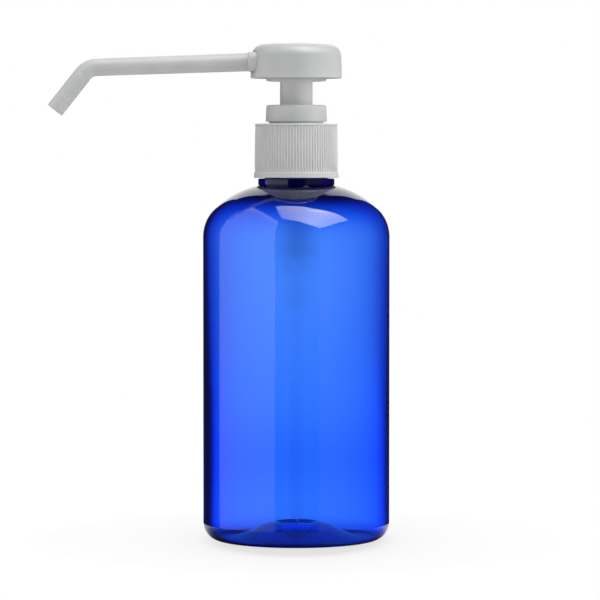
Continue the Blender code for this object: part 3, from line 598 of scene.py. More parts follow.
def lathe(name: str, section: list[Point], steps: int = 128) -> Piece:
    """Turn a section about the Z axis into a closed mesh.

    Args:
        name: The object's name.
        section: Points as radius and height. One that begins and ends on the axis is closed
            there, and any other is closed from its last point to its first.
        steps: How many steps go around.

    Returns:
        The new object, shaded smooth.
    """
    opened = section[0][0] < MERGE and section[-1][0] < MERGE
    shape = bmesh.new()
    rings = []
    for radius, height in section:
        if radius < MERGE:
            rings.append([shape.verts.new((0, 0, height))] * steps)
            continue
        turns = (2 * math.pi * step / steps for step in range(steps))
        rings.append([shape.verts.new((radius * math.cos(turn), radius * math.sin(turn), height))
                      for turn in turns])
    pairs = list(zip(rings, rings[1:])) + ([] if opened else [(rings[-1], rings[0])])
    for upper, lower in pairs:
        for step in range(steps):
            following = (step + 1) % steps
            corners = [upper[step], upper[following], lower[following], lower[step]]
            face = list(dict.fromkeys(corners))
            if len(face) > 2:
                shape.faces.new(face)
    return finish_mesh(name, shape)


def finish_mesh(name: str, shape: bmesh.types.BMesh) -> Piece:
    """Turn a bmesh into a smooth-shaded object with its faces outwards.

    Args:
        name: The object's name.
        shape: The bmesh, which is freed.

    Returns:
        The new object, linked to the scene.
    """
    bmesh.ops.remove_doubles(shape, verts=shape.verts, dist=MERGE)
    bmesh.ops.recalc_face_normals(shape, faces=shape.faces)
    mesh = bpy.data.meshes.new(name)
    shape.to_mesh(mesh)
    shape.free()
    mesh.shade_smooth()
    piece = bpy.data.objects.new(name, mesh)
    bpy.context.scene.collection.objects.link(piece)
    return piece


def sweep(name: str, points: list[Vector], radii: list[float], sides: int) -> Piece:
    """Run a round bar along a path in the XZ plane.

    Args:
        name: The object's name.
        points: The path's points.
        radii: The bar's radius at each point.
        sides: How many sides the bar has.

    Returns:
        The new object, closed at both ends.
    """
    shape = bmesh.new()
    across = Vector((0, 1, 0))
    rings, hubs = [], []
    for index, (point, radius) in enumerate(zip(points, radii)):
        before = points[max(index - 1, 0)]
        after = points[min(index + 1, len(points) - 1)]
        up = (after - before).normalized().cross(across)
        turns = (2 * math.pi * side / sides for side in range(sides))
        rings.append([
            shape.verts.new(point + radius * (math.cos(turn) * across + math.sin(turn) * up))
            for turn in turns
        ])
        if index in (0, len(points) - 1):
            hubs.append(shape.verts.new(point))
    for first, second in zip(rings, rings[1:]):
        for side in range(sides):
            following = (side + 1) % sides
            shape.faces.new((first[side], first[following], second[following], second[side]))
    for ring, hub in zip((rings[0], rings[-1]), hubs):
        for side in range(sides):
            shape.faces.new((ring[side], ring[(side + 1) % sides], hub))
    return finish_mesh(name, shape)


def block(name: str, low: Vector, high: Vector, corner: float = 0.0,
          edge: float = 0.0) -> Piece:
    """Make a box, its edges along X rounded by the corner and the others by the edge.

    Args:
        name: The object's name.
        low: The lowest corner.
        high: The highest corner.
        corner: The rounding of the edges that run along X.
        edge: The rounding of the edges around the end at low X.

    Returns:
        The new object.
    """
    shape = bmesh.new()
    size, middle = Vector(high) - Vector(low), (Vector(high) + Vector(low)) / 2
    bmesh.ops.create_cube(shape, size=1.0,
                          matrix=Matrix.Translation(middle) @ Matrix.Diagonal((*size, 1)))
    if corner > 0:
        along = [e for e in shape.edges
                 if abs((e.verts[1].co - e.verts[0].co).x) > size.x / 2]
        bmesh.ops.bevel(shape, geom=along, offset=corner, segments=10, profile=0.5,
                        affect="EDGES")
    if edge > 0:
        front = [e for e in shape.edges
                 if all(abs(v.co.x - low[0]) < MERGE for v in e.verts)]
        bmesh.ops.bevel(shape, geom=front, offset=edge, segments=4, profile=0.5,
                        affect="EDGES")
    return finish_mesh(name, shape)


def as_mesh(piece: Piece) -> None:
    """Replace an object's mesh by its evaluated one, without modifiers.

    Args:
        piece: The object.
    """
    bpy.context.view_layer.update()
    depsgraph = bpy.context.evaluated_depsgraph_get()
    mesh = bpy.data.meshes.new_from_object(piece.evaluated_get(depsgraph))
    piece.modifiers.clear()
    piece.data = mesh


def carve(piece: Piece, tool: Piece, operation: Operation = Operation.CUT) -> None:
    """Cut a piece with a tool or join the tool to it, and remove the tool.

    Args:
        piece: The object that is changed.
        tool: The object that changes it.
        operation: Whether to cut or join.
    """
    step = piece.modifiers.new("carve", "BOOLEAN")
    step.operation = operation.value
    step.solver = "EXACT"
    step.object = tool
    as_mesh(piece)
    bpy.data.objects.remove(tool)


def crisp(piece: Piece, angle: float = 32.0) -> Piece:
    """Clean a carved piece and shade it smooth between its sharp edges.

    Args:
        piece: The object.
        angle: The least angle of a sharp edge, in degrees.

    Returns:
        The same object.
    """
    shape = bmesh.new()
    shape.from_mesh(piece.data)
    bmesh.ops.remove_doubles(shape, verts=shape.verts, dist=MERGE)
    bmesh.ops.dissolve_degenerate(shape, edges=shape.edges, dist=MERGE)
    shape.to_mesh(piece.data)
    shape.free()
    piece.data.shade_smooth()
    piece.data.set_sharp_from_angle(angle=math.radians(angle))
    return piece


def mark_inside(piece: Piece) -> None:
    """Mark the points of a turned shell whose surface faces its axis.

    Args:
        piece: The shell's object, which stands on the Z axis.
    """
    mark = piece.data.attributes.new(INNER_FACE, "FLOAT", "POINT")
    for vertex in piece.data.vertices:
        across = vertex.co.x * vertex.normal.x + vertex.co.y * vertex.normal.y
        mark.data[vertex.index].value = 1.0 if across < 0 else 0.0


def settle(piece: Piece, body: Body, material: Material, slot: str, *nodes: str) -> None:
    """Dress a finished piece and hang it on its body.

    Args:
        piece: The object.
        body: The body that carries it.
        material: Its material.
        slot: The record's material slot that it stands for. Not used.
        nodes: The solids that it replaces.
    """
    piece.data.materials.clear()
    piece.data.materials.append(material)
    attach(piece, body.value)
    if nodes:
        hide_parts(*nodes)
    LOG.info("%s: %d faces, rides on %s", piece.name, len(piece.data.polygons), body.value)


def dress(node: Piece, material: Material) -> None:
    """Give a carried-over solid its material.

    Args:
        node: The solid's object.
        material: The material.
    """
    node.data.materials.clear()
    node.data.materials.append(material)
    LOG.info("%s: packed solid kept, with finish %s", node.name, material.name)


# Geometry nodes


class RuleTree:
    """A geometry node tree with named inputs, turned into a plain mesh on one object."""

    def __init__(self, name: str, count: str, sizes: tuple[str, ...]) -> None:
        """Start the tree.

        Args:
            name: The tree's name.
            count: The name of its whole number.
            sizes: The names of its measures. Every tree also takes a Material.
        """
        self.tree = bpy.data.node_groups.new(name, "GeometryNodeTree")
        self.tree.interface.new_socket("Geometry", in_out="OUTPUT",
                                       socket_type="NodeSocketGeometry")
        kinds = {count: "NodeSocketInt", **dict.fromkeys(sizes, "NodeSocketFloat"),
                 "Material": "NodeSocketMaterial"}
        self.sockets = {
            label: self.tree.interface.new_socket(label, in_out="INPUT", socket_type=kind)
            for label, kind in kinds.items()
        }
        self.graph = Graph(self.tree)
        self.given = self.graph.add("NodeGroupInput")

    def socket(self, label: str) -> Socket:
        """Return the output of the tree's named input."""
        return self.given.outputs[label]

    def curve(self, steps: object, **ends: Socket) -> Socket:
        """Make a line of evenly spaced points.

        Args:
            steps: How many points, as a socket or a number.
            ends: The line's Start and End, where they matter.

        Returns:
            The line.
        """
        line = self.graph.add("GeometryNodeCurvePrimitiveLine", ends).outputs["Curve"]
        return self.graph.add("GeometryNodeResampleCurve", {
            "Curve": line, "Count": steps}).outputs["Curve"]

    def bar(self, curve: Socket, thickness: Socket, width: str, sides: int) -> Socket:
        """Run a round bar along a curve.

        Args:
            curve: The curve.
            thickness: The share of the full width along the curve.
            width: The name of the input that holds the bar's radius.
            sides: How many sides the bar has.

        Returns:
            The bar's mesh.
        """
        graph = self.graph
        taper = graph.add("GeometryNodeSetCurveRadius", {"Curve": curve, "Radius": thickness})
        profile = graph.add("GeometryNodeCurvePrimitiveCircle", {
            "Resolution": sides, "Radius": self.socket(width)}, mode="RADIUS")
        bar = graph.add("GeometryNodeCurveToMesh", {
            "Curve": taper.outputs["Curve"], "Profile Curve": profile.outputs["Curve"],
            "Fill Caps": True})
        if "Scale" in bar.inputs:
            graph.feed(bar.inputs["Scale"], thickness)
        return bar.outputs["Mesh"]

    def close(self, geometry: Socket) -> None:
        """End the tree in shading, realized instances and a material.

        Args:
            geometry: The geometry that the tree has made.
        """
        add = self.graph.add
        real = add("GeometryNodeRealizeInstances", {"Geometry": geometry})
        shade = add("GeometryNodeSetShadeSmooth", {"Geometry": real.outputs["Geometry"]})
        finish = add("GeometryNodeSetMaterial", {
            "Geometry": shade.outputs["Geometry"], "Material": self.socket("Material")})
        add("NodeGroupOutput", {"Geometry": finish.outputs["Geometry"]})

    def grow(self, name: str, values: dict[str, object]) -> Piece:
        """Make a plain mesh object with the tree.

        Args:
            name: The object's name.
            values: The value of each named input.

        Returns:
            The new object, without its modifier.
        """
        piece = bpy.data.objects.new(name, bpy.data.meshes.new(name))
        bpy.context.scene.collection.objects.link(piece)
        step = piece.modifiers.new("rule", "NODES")
        step.node_group = self.tree
        for label, value in values.items():
            step[self.sockets[label].identifier] = value
        as_mesh(piece)
        shape = bmesh.new()
        shape.from_mesh(piece.data)
        bmesh.ops.remove_doubles(shape, verts=shape.verts, dist=MERGE)
        bmesh.ops.recalc_face_normals(shape, faces=shape.faces)
        shape.to_mesh(piece.data)
        shape.free()
        piece.data.set_sharp_from_angle(angle=math.radians(50))
        return piece


def rib_tree() -> RuleTree:
    """Build the tree that stands upright ribs around a ring.

    Returns:
        The tree, with its inputs Count, Foot, Head, Low, High, Width and Material.
    """
    rule = RuleTree("upright_ribs", "Count", ("Foot", "Head", "Low", "High", "Width"))
    graph = rule.graph
    ends = {
        label: graph.add("ShaderNodeCombineXYZ", {
            "X": rule.socket(radius), "Z": rule.socket(height)}).outputs["Vector"]
        for label, radius, height in (("Start", "Foot", "Low"), ("End", "Head", "High"))
    }
    line = rule.curve(RIB_STEPS, **ends)
    along = graph.add("GeometryNodeSplineParameter").outputs["Factor"]
    past_end = graph.math("MINIMUM", along, graph.math("SUBTRACT", 1.0, along))
    fade = graph.math("ADD", graph.math("MULTIPLY", past_end, RIB_FADE), RIB_TIP)
    fade = graph.math("SQRT", graph.math("MINIMUM", fade, 1.0))
    rib = rule.bar(line, fade, "Width", 10)
    ring = graph.add("GeometryNodeMeshLine", {
        "Count": rule.socket("Count"), "Offset": (0.0, 0.0, 0.0)}).outputs["Mesh"]
    index = graph.add("GeometryNodeInputIndex").outputs["Index"]
    turn = graph.math("DIVIDE", graph.math("MULTIPLY", index, 2 * math.pi),
                      rule.socket("Count"))
    angle = graph.add("ShaderNodeCombineXYZ", {"Z": turn}).outputs["Vector"]
    stand = graph.add("GeometryNodeInstanceOnPoints", {
        "Points": ring, "Instance": rib, "Rotation": angle})
    rule.close(stand.outputs["Instances"])
    return rule


def coil_tree() -> RuleTree:
    """Build the tree that winds a wire or a thread: close end turns and open turns between.

    Returns:
        The tree, with its inputs Steps, Radius, Low, Turns, Ends, Close, Open, Wire, Fade and
        Material. Ends is how many turns at each end have the close pitch.
    """
    rule = RuleTree("wound_coil", "Steps", ("Radius", "Low", "Turns", "Ends", "Close", "Open",
                                            "Wire", "Fade"))
    graph = rule.graph
    radius, low, all_turns, ends, fade = map(rule.socket,
                                             ("Radius", "Low", "Turns", "Ends", "Fade"))
    line = rule.curve(rule.socket("Steps"))
    along = graph.add("GeometryNodeSplineParameter").outputs["Factor"]
    turns = graph.math("MULTIPLY", along, all_turns)
    angle = graph.math("MULTIPLY", turns, 2 * math.pi)
    open_turns = graph.math("SUBTRACT", all_turns, graph.math("MULTIPLY", ends, 2.0))
    past = graph.math("MAXIMUM", graph.math("SUBTRACT", turns, ends), 0.0)
    opened = graph.math("MINIMUM", past, open_turns)
    closed = graph.math("SUBTRACT", turns, opened)
    rise = graph.math("ADD", graph.math("MULTIPLY", opened, rule.socket("Open")),
                      graph.math("MULTIPLY", closed, rule.socket("Close")))
    place = graph.add("ShaderNodeCombineXYZ", {
        "X": graph.math("MULTIPLY", graph.math("COSINE", angle), radius),
        "Y": graph.math("MULTIPLY", graph.math("SINE", angle), radius),
        "Z": graph.math("ADD", rise, low)})
    wound = graph.add("GeometryNodeSetPosition", {
        "Geometry": line, "Position": place.outputs["Vector"]})
    past_end = graph.math("MINIMUM", along, graph.math("SUBTRACT", 1.0, along))
    share = graph.math("DIVIDE", past_end, graph.math("MAXIMUM", fade, 1e-5))
    thickness = graph.math("MAXIMUM", graph.math("MINIMUM", share, 1.0),
                           graph.math("LESS_THAN", fade, 1e-4))
    thickness = graph.math("MAXIMUM", thickness, THIN_END)
    rule.close(rule.bar(wound.outputs["Geometry"], thickness, "Wire", 12))
    return rule


def screw_thread(coils: RuleTree, name: str, material: Material, radius: float,
                 low: float, reach: float, turns: float, steps: int) -> Piece:
    """Wind a screw thread that fades at both ends.

    Args:
        coils: The tree that winds coils.
        name: The object's name.
        material: Its material.
        radius: The radius on which the thread's bar runs.
        low: The height at which it starts.
        reach: The bar's radius.
        turns: How many turns it makes.
        steps: How many points it has.

    Returns:
        The new object.
    """
    return coils.grow(name, {
        "Radius": radius, "Low": low, "Turns": turns, "Ends": 0.0, "Close": THREAD_PITCH,
        "Open": THREAD_PITCH, "Wire": reach, "Fade": THREAD_FADE, "Steps": steps,
        "Material": material,
    })


# Sub-assemblies


@dataclass
class Bottle:
    """The blown bottle: straight side, two-arc shoulder, bead, threaded neck, pushed-up base."""

    coils: RuleTree
    radius: float = 0.0370
    wall: float = 0.0008
    side_top: float = 0.1204
    side_shares: tuple[float, ...] = (0.98, 0.9, 0.7, 0.5, 0.3, 0.15)
    shoulder: float = 0.0162
    shoulder_turn: float = 46.7
    crown: float = 0.0366
    heel: float = 0.0070
    foot_width: float = 0.0030
    push_up: float = 0.0064
    crest_radius: float = 0.0082
    pad_radius: float = 0.0040
    pad_recess: float = 0.0010
    base_steps: int = 12
    neck_radius: float = 0.01245
    neck_bore: float = 0.0109
    neck_height: float = 0.0165
    bead_radius: float = 0.01512
    bead_height: float = 0.0024
    bead_edge: float = 0.0004
    bead_foot: float = 0.0007
    thread_start: float = 0.0035
    thread_reach: float = 0.00105
    thread_turns: float = 2.6
    thread_steps: int = 340
    finish: BlownPlastic = field(default_factory=lambda: BlownPlastic("blown_blue"))

    @property
    def shoulder_centre(self) -> Vector:
        """The centre of the lower shoulder arc, as radius and height."""
        return Vector((self.radius - self.shoulder, self.side_top))

    @property
    def crown_centre(self) -> Vector:
        """The centre of the upper shoulder arc, as radius and height."""
        turn = math.radians(self.shoulder_turn)
        return self.shoulder_centre + (self.shoulder - self.crown) * Vector(
            (math.cos(turn), math.sin(turn)))

    @property
    def bead_seat(self) -> float:
        """The height at which the bead leaves the crown."""
        reach = self.bead_radius - self.bead_edge / 2 - self.crown_centre.x
        return self.crown_centre.y + math.sqrt(self.crown**2 - reach**2)

    @property
    def bead_top(self) -> float:
        """The height of the bead's top."""
        return self.bead_seat + self.bead_height

    @property
    def neck_top(self) -> float:
        """The height of the neck's sealing face."""
        return self.bead_top + self.neck_height

    def side(self, inset: float) -> list[Corner]:
        """Return the side from the crown down to the foot.

        Args:
            inset: How far the side is moved inwards.

        Returns:
            Corners of the turned section.
        """
        reach = self.neck_bore if inset > 0 else self.bead_radius - self.bead_edge / 2
        crown = self.crown - inset
        top = math.degrees(math.acos((reach - self.crown_centre.x) / crown))
        corners = arc(tuple(self.crown_centre), crown, top, self.shoulder_turn, 14)
        corners += arc(tuple(self.shoulder_centre), self.shoulder - inset,
                       self.shoulder_turn, 0, 16)[1:]
        corners += [(self.radius - inset, self.side_top * share, 0.0)
                    for share in self.side_shares]
        corners += arc((self.radius - self.heel, self.heel), self.heel - inset, 0, -90, 16)
        corners.append((self.radius - self.heel - self.foot_width, inset, 0.0))
        return corners

    def middle(self, lift: float) -> list[Corner]:
        """Return the pushed-up middle of the base, from the foot to the gate pad.

        Args:
            lift: How far the middle is raised.

        Returns:
            Corners of the turned section.
        """
        turns = ((self.radius - self.heel - self.foot_width, 0.0),
                 (self.crest_radius, self.push_up), (self.pad_radius, self.pad_recess))
        corners = []
        for (radius, height), (next_radius, next_height) in zip(turns, turns[1:]):
            for step in range(1, self.base_steps + 1):
                share = step / self.base_steps
                ease = (1 - math.cos(math.pi * share)) / 2
                corners.append((radius + (next_radius - radius) * share,
                                height + (next_height - height) * ease + lift, 0.0))
        return corners

    def build(self) -> None:
        """Build the bottle and its thread."""
        inside = [(0.0, self.pad_recess + self.wall, 0.0)]
        inside += list(reversed(self.side(self.wall) + self.middle(self.wall)))
        neck = [
            (self.neck_bore, self.neck_top, SOFT),
            (self.neck_radius, self.neck_top, ROUND),
            (self.neck_radius, self.bead_top, SOFT),
            (self.bead_radius, self.bead_top, self.bead_edge),
            (self.bead_radius, self.bead_seat, self.bead_foot),
        ]
        outside = self.side(0) + self.middle(0) + [(0.0, self.pad_recess, 0.0)]
        bottle = lathe("bottle_shell", rounded(inside + neck + outside), steps=160)
        material = self.finish.material()
        thread = screw_thread(
            self.coils, "bottle_thread", material, self.neck_radius - THREAD_SINK,
            self.bead_top + self.thread_start, self.thread_reach, self.thread_turns,
            self.thread_steps)
        carve(bottle, thread, Operation.JOIN)
        crisp(bottle, angle=55.0)
        mark_inside(bottle)
        settle(bottle, Body.BOTTLE, material, "bottle", "bottle")


@dataclass
class Closure:
    """The ribbed screw collar: plain band, ribs, smooth rim, roof hole and thread inside."""

    ribs: RuleTree
    coils: RuleTree
    material: Material
    bottom: float
    top: float
    band_radius: float = 0.01667
    band_flare: float = 0.00013
    band_height: float = 0.0023
    band_step: float = 0.00018
    band_edge: float = 0.00022
    rim_radius: float = 0.01643
    rim_height: float = 0.0007
    rim_edge: float = 0.00055
    rim_foot: float = 0.00012
    bore: float = 0.0140
    hole: float = 0.01105
    roof: float = 0.0019
    rib_foot: float = 0.01657
    rib_head: float = 0.01635
    rib_reach: float = 0.00044
    rib_count: int = 88
    rib_bury: float = 0.0001
    thread_start: float = 0.004
    thread_reach: float = 0.0006
    thread_turns: float = 2.2
    thread_steps: int = 300

    def build(self) -> None:
        """Build the collar, its ribs and its thread."""
        low, high = self.bottom + self.band_height, self.top - self.rim_height
        section = [
            (self.hole, self.top, SOFT),
            (self.rim_radius, self.top, self.rim_edge),
            (self.rim_radius, high, self.rim_foot),
            (self.rib_head - self.rib_reach, high, SHARP),
            (self.rib_foot - self.rib_reach, low, SHARP),
            (self.band_radius, low, self.band_step),
            (self.band_radius + self.band_flare, self.bottom, self.band_edge),
            (self.bore, self.bottom, SOFT),
            (self.bore, self.top - self.roof, SOFT),
            (self.hole, self.top - self.roof, FINE),
        ]
        collar = lathe("closure_collar", rounded(section), steps=176)
        settle(crisp(collar, angle=60.0), Body.CLOSURE, self.material, "closure", "closure")
        grip = self.ribs.grow("closure_ribs", {
            "Count": self.rib_count, "Foot": self.rib_foot - self.rib_reach,
            "Head": self.rib_head - self.rib_reach, "Low": low - self.rib_bury,
            "High": high + self.rib_bury, "Width": self.rib_reach, "Material": self.material,
        })
        settle(grip, Body.CLOSURE, self.material, "closure")
        thread = screw_thread(
            self.coils, "closure_thread", self.material, self.bore + THREAD_SINK,
            self.bottom + self.thread_start, self.thread_reach, self.thread_turns,
            self.thread_steps)
        settle(thread, Body.CLOSURE, self.material, "closure")


@dataclass
class PumpBody:
    """What stays in the neck: lock ring, housing, dip tube and return spring.

    The cover is how far below the closure's top the housing is opaque.
    """

    coils: RuleTree
    white: Material
    natural: Material
    clear: Material
    neck_top: float
    closure_top: float
    ring_top: float
    stop_top: float
    tube_ceiling: float
    socket_bottom: float
    tube_bottom: float
    spring_low: float
    spring_high: float
    gasket: float = 0.0010
    cover: float = 0.0035
    collar: float = 0.01075
    flange: float = 0.0133
    flange_thickness: float = 0.0014
    wall: float = 0.0011
    guide_bore: float = 0.0086
    cylinder: float = 0.0075
    cylinder_depth: float = 0.0495
    cylinder_edge: float = 0.0008
    chamber: float = 0.0037
    chamber_depth: float = 0.0077
    chamber_edge: float = 0.0006
    chamber_height: float = 0.0060
    chamber_slope: float = 0.0030
    inlet: float = 0.0020
    socket: float = 0.0032
    socket_wall: float = 0.0013
    stem_guide: float = 0.00675
    sleeve: float = 0.0083
    sleeve_reach: float = 0.0085
    ring_radius: float = 0.01185
    ring_flare: float = 0.0003
    ring_roof: float = 0.0015
    ring_seat: float = 0.0008
    ring_edge: float = 0.0008
    ring_mouth: float = 0.00025
    tube: float = 0.0029
    tube_bore: float = 0.0020
    tube_slope: float = 40.0
    wire: float = 0.00045
    coil: float = 0.0049
    coil_turns: float = 9.0
    coil_close: float = 0.0015
    coil_steps: int = 433
    stroke: float = 0.0091

    @property
    def flange_bottom(self) -> float:
        """The height of the flange's underside, on the gasket."""
        return self.neck_top + 2 * SEAT_GAP + self.gasket

    @property
    def ring_bottom(self) -> float:
        """The height of the lock ring's lower edge."""
        return self.closure_top + self.ring_seat

    @property
    def cylinder_floor(self) -> float:
        """The height of the cylinder's floor."""
        return self.flange_bottom - self.cylinder_depth

    @property
    def inlet_top(self) -> float:
        """The height of the inlet's upper end."""
        return self.cylinder_floor - self.chamber_depth

    def build(self) -> None:
        """Build the fixed pieces of the pump."""
        self.build_ring()
        self.build_housing()
        self.build_tube()
        self.build_spring()

    def build_ring(self) -> None:
        """Build the lock ring with its guide sleeve."""
        roof = self.ring_top - self.ring_roof
        hole = self.collar + SEAT_GAP
        section = [
            (self.stem_guide, self.ring_top, self.ring_mouth),
            (self.ring_radius, self.ring_top, self.ring_edge),
            (self.ring_radius + self.ring_flare, self.ring_bottom, FINE),
            (hole, self.ring_bottom, SHARP),
            (hole, roof, FINE),
            (self.sleeve, roof, FINE),
            (self.sleeve, self.ring_bottom - self.sleeve_reach, FINE),
            (self.stem_guide, self.ring_bottom - self.sleeve_reach, FINE),
        ]
        ring = lathe("lock_ring_cap", rounded(section, steps=6), steps=144)
        settle(ring, Body.PUMP, self.white, "lock_ring", "lock_ring")

    def build_housing(self) -> None:
        """Build the housing: collar, flange, cylinder, ball seat and tube socket."""
        guide_wall = self.guide_bore + self.wall
        cylinder_wall = self.cylinder + self.wall
        spigot = self.socket + self.socket_wall
        chamber_wall = self.chamber + self.wall
        collar_top = self.ring_top - self.ring_roof - SEAT_GAP
        flange_top = self.flange_bottom + self.flange_thickness
        section = [
            (self.guide_bore, collar_top, FINE), (self.collar, collar_top, ROUND),
            (self.collar, flange_top, SOFT), (self.flange, flange_top, SOFT),
            (self.flange, self.flange_bottom, SOFT),
            (guide_wall, self.flange_bottom, ROUND),
            (guide_wall, self.stop_top - self.wall, ROUND),
            (cylinder_wall, self.stop_top - 2 * self.wall, ROUND),
            (cylinder_wall, self.cylinder_floor - self.wall, self.cylinder_edge),
            (chamber_wall, self.cylinder_floor - self.wall - self.chamber_slope,
             self.chamber_edge),
            (chamber_wall, self.inlet_top, SOFT),
            (spigot, self.inlet_top - self.wall, SOFT),
            (spigot, self.socket_bottom, ROUND), (self.socket, self.socket_bottom, SOFT),
            (self.socket, self.tube_ceiling, FINE), (self.inlet, self.tube_ceiling, FINE),
            (self.inlet, self.inlet_top, FINE),
            (self.chamber, self.cylinder_floor - self.chamber_height, FINE),
            (self.chamber, self.cylinder_floor, FINE),
            (self.cylinder, self.cylinder_floor, ROUND),
            (self.cylinder, self.stop_top, SOFT), (self.guide_bore, self.stop_top, FINE),
        ]
        housing = lathe("pump_housing", rounded(section), steps=112)
        settle(housing, Body.PUMP, self.natural, "housing", "housing")

    def build_tube(self) -> None:
        """Build the dip tube, cut on a slant at its foot."""
        top = self.tube_ceiling - SEAT_GAP
        section = [
            (self.tube_bore, top, SHARP), (self.tube, top, SHARP),
            (self.tube, self.tube_bottom, 0.0), (self.tube_bore, self.tube_bottom, 0.0),
        ]
        tube = lathe("dip_tube_wall", rounded(section), steps=64)
        span = 4 * self.tube
        knife = block("tube_knife", Vector((-span, -span, -2 * span)), Vector((span, span, 0)))
        rise = (self.tube + self.tube_bore) / 2 * math.tan(math.radians(self.tube_slope))
        knife.matrix_world = Matrix.Translation((0, 0, self.tube_bottom + rise)) @ (
            Matrix.Rotation(math.radians(self.tube_slope), 4, "Y"))
        carve(tube, knife)
        settle(crisp(tube), Body.PUMP, self.clear, "dip_tube", "dip_tube")

    def build_spring(self) -> None:
        """Build the return spring at rest, with the head up; the real spring flattens as the head
        goes down.
        """
        material = DrawnSteel("spring_steel").material()
        low, high = self.spring_low + self.wire, self.spring_high - self.wire
        spring = self.coils.grow("return_coil", {
            "Radius": self.coil, "Low": low, "Turns": self.coil_turns, "Ends": 1.0,
            "Close": self.coil_close,
            "Open": (high - low - 2 * self.coil_close) / (self.coil_turns - 2),
            "Wire": self.wire, "Fade": 0.0, "Steps": self.coil_steps, "Material": material,
        })
        settle(spring, Body.PUMP, material, "return_spring", "return_spring")
        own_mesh(spring)


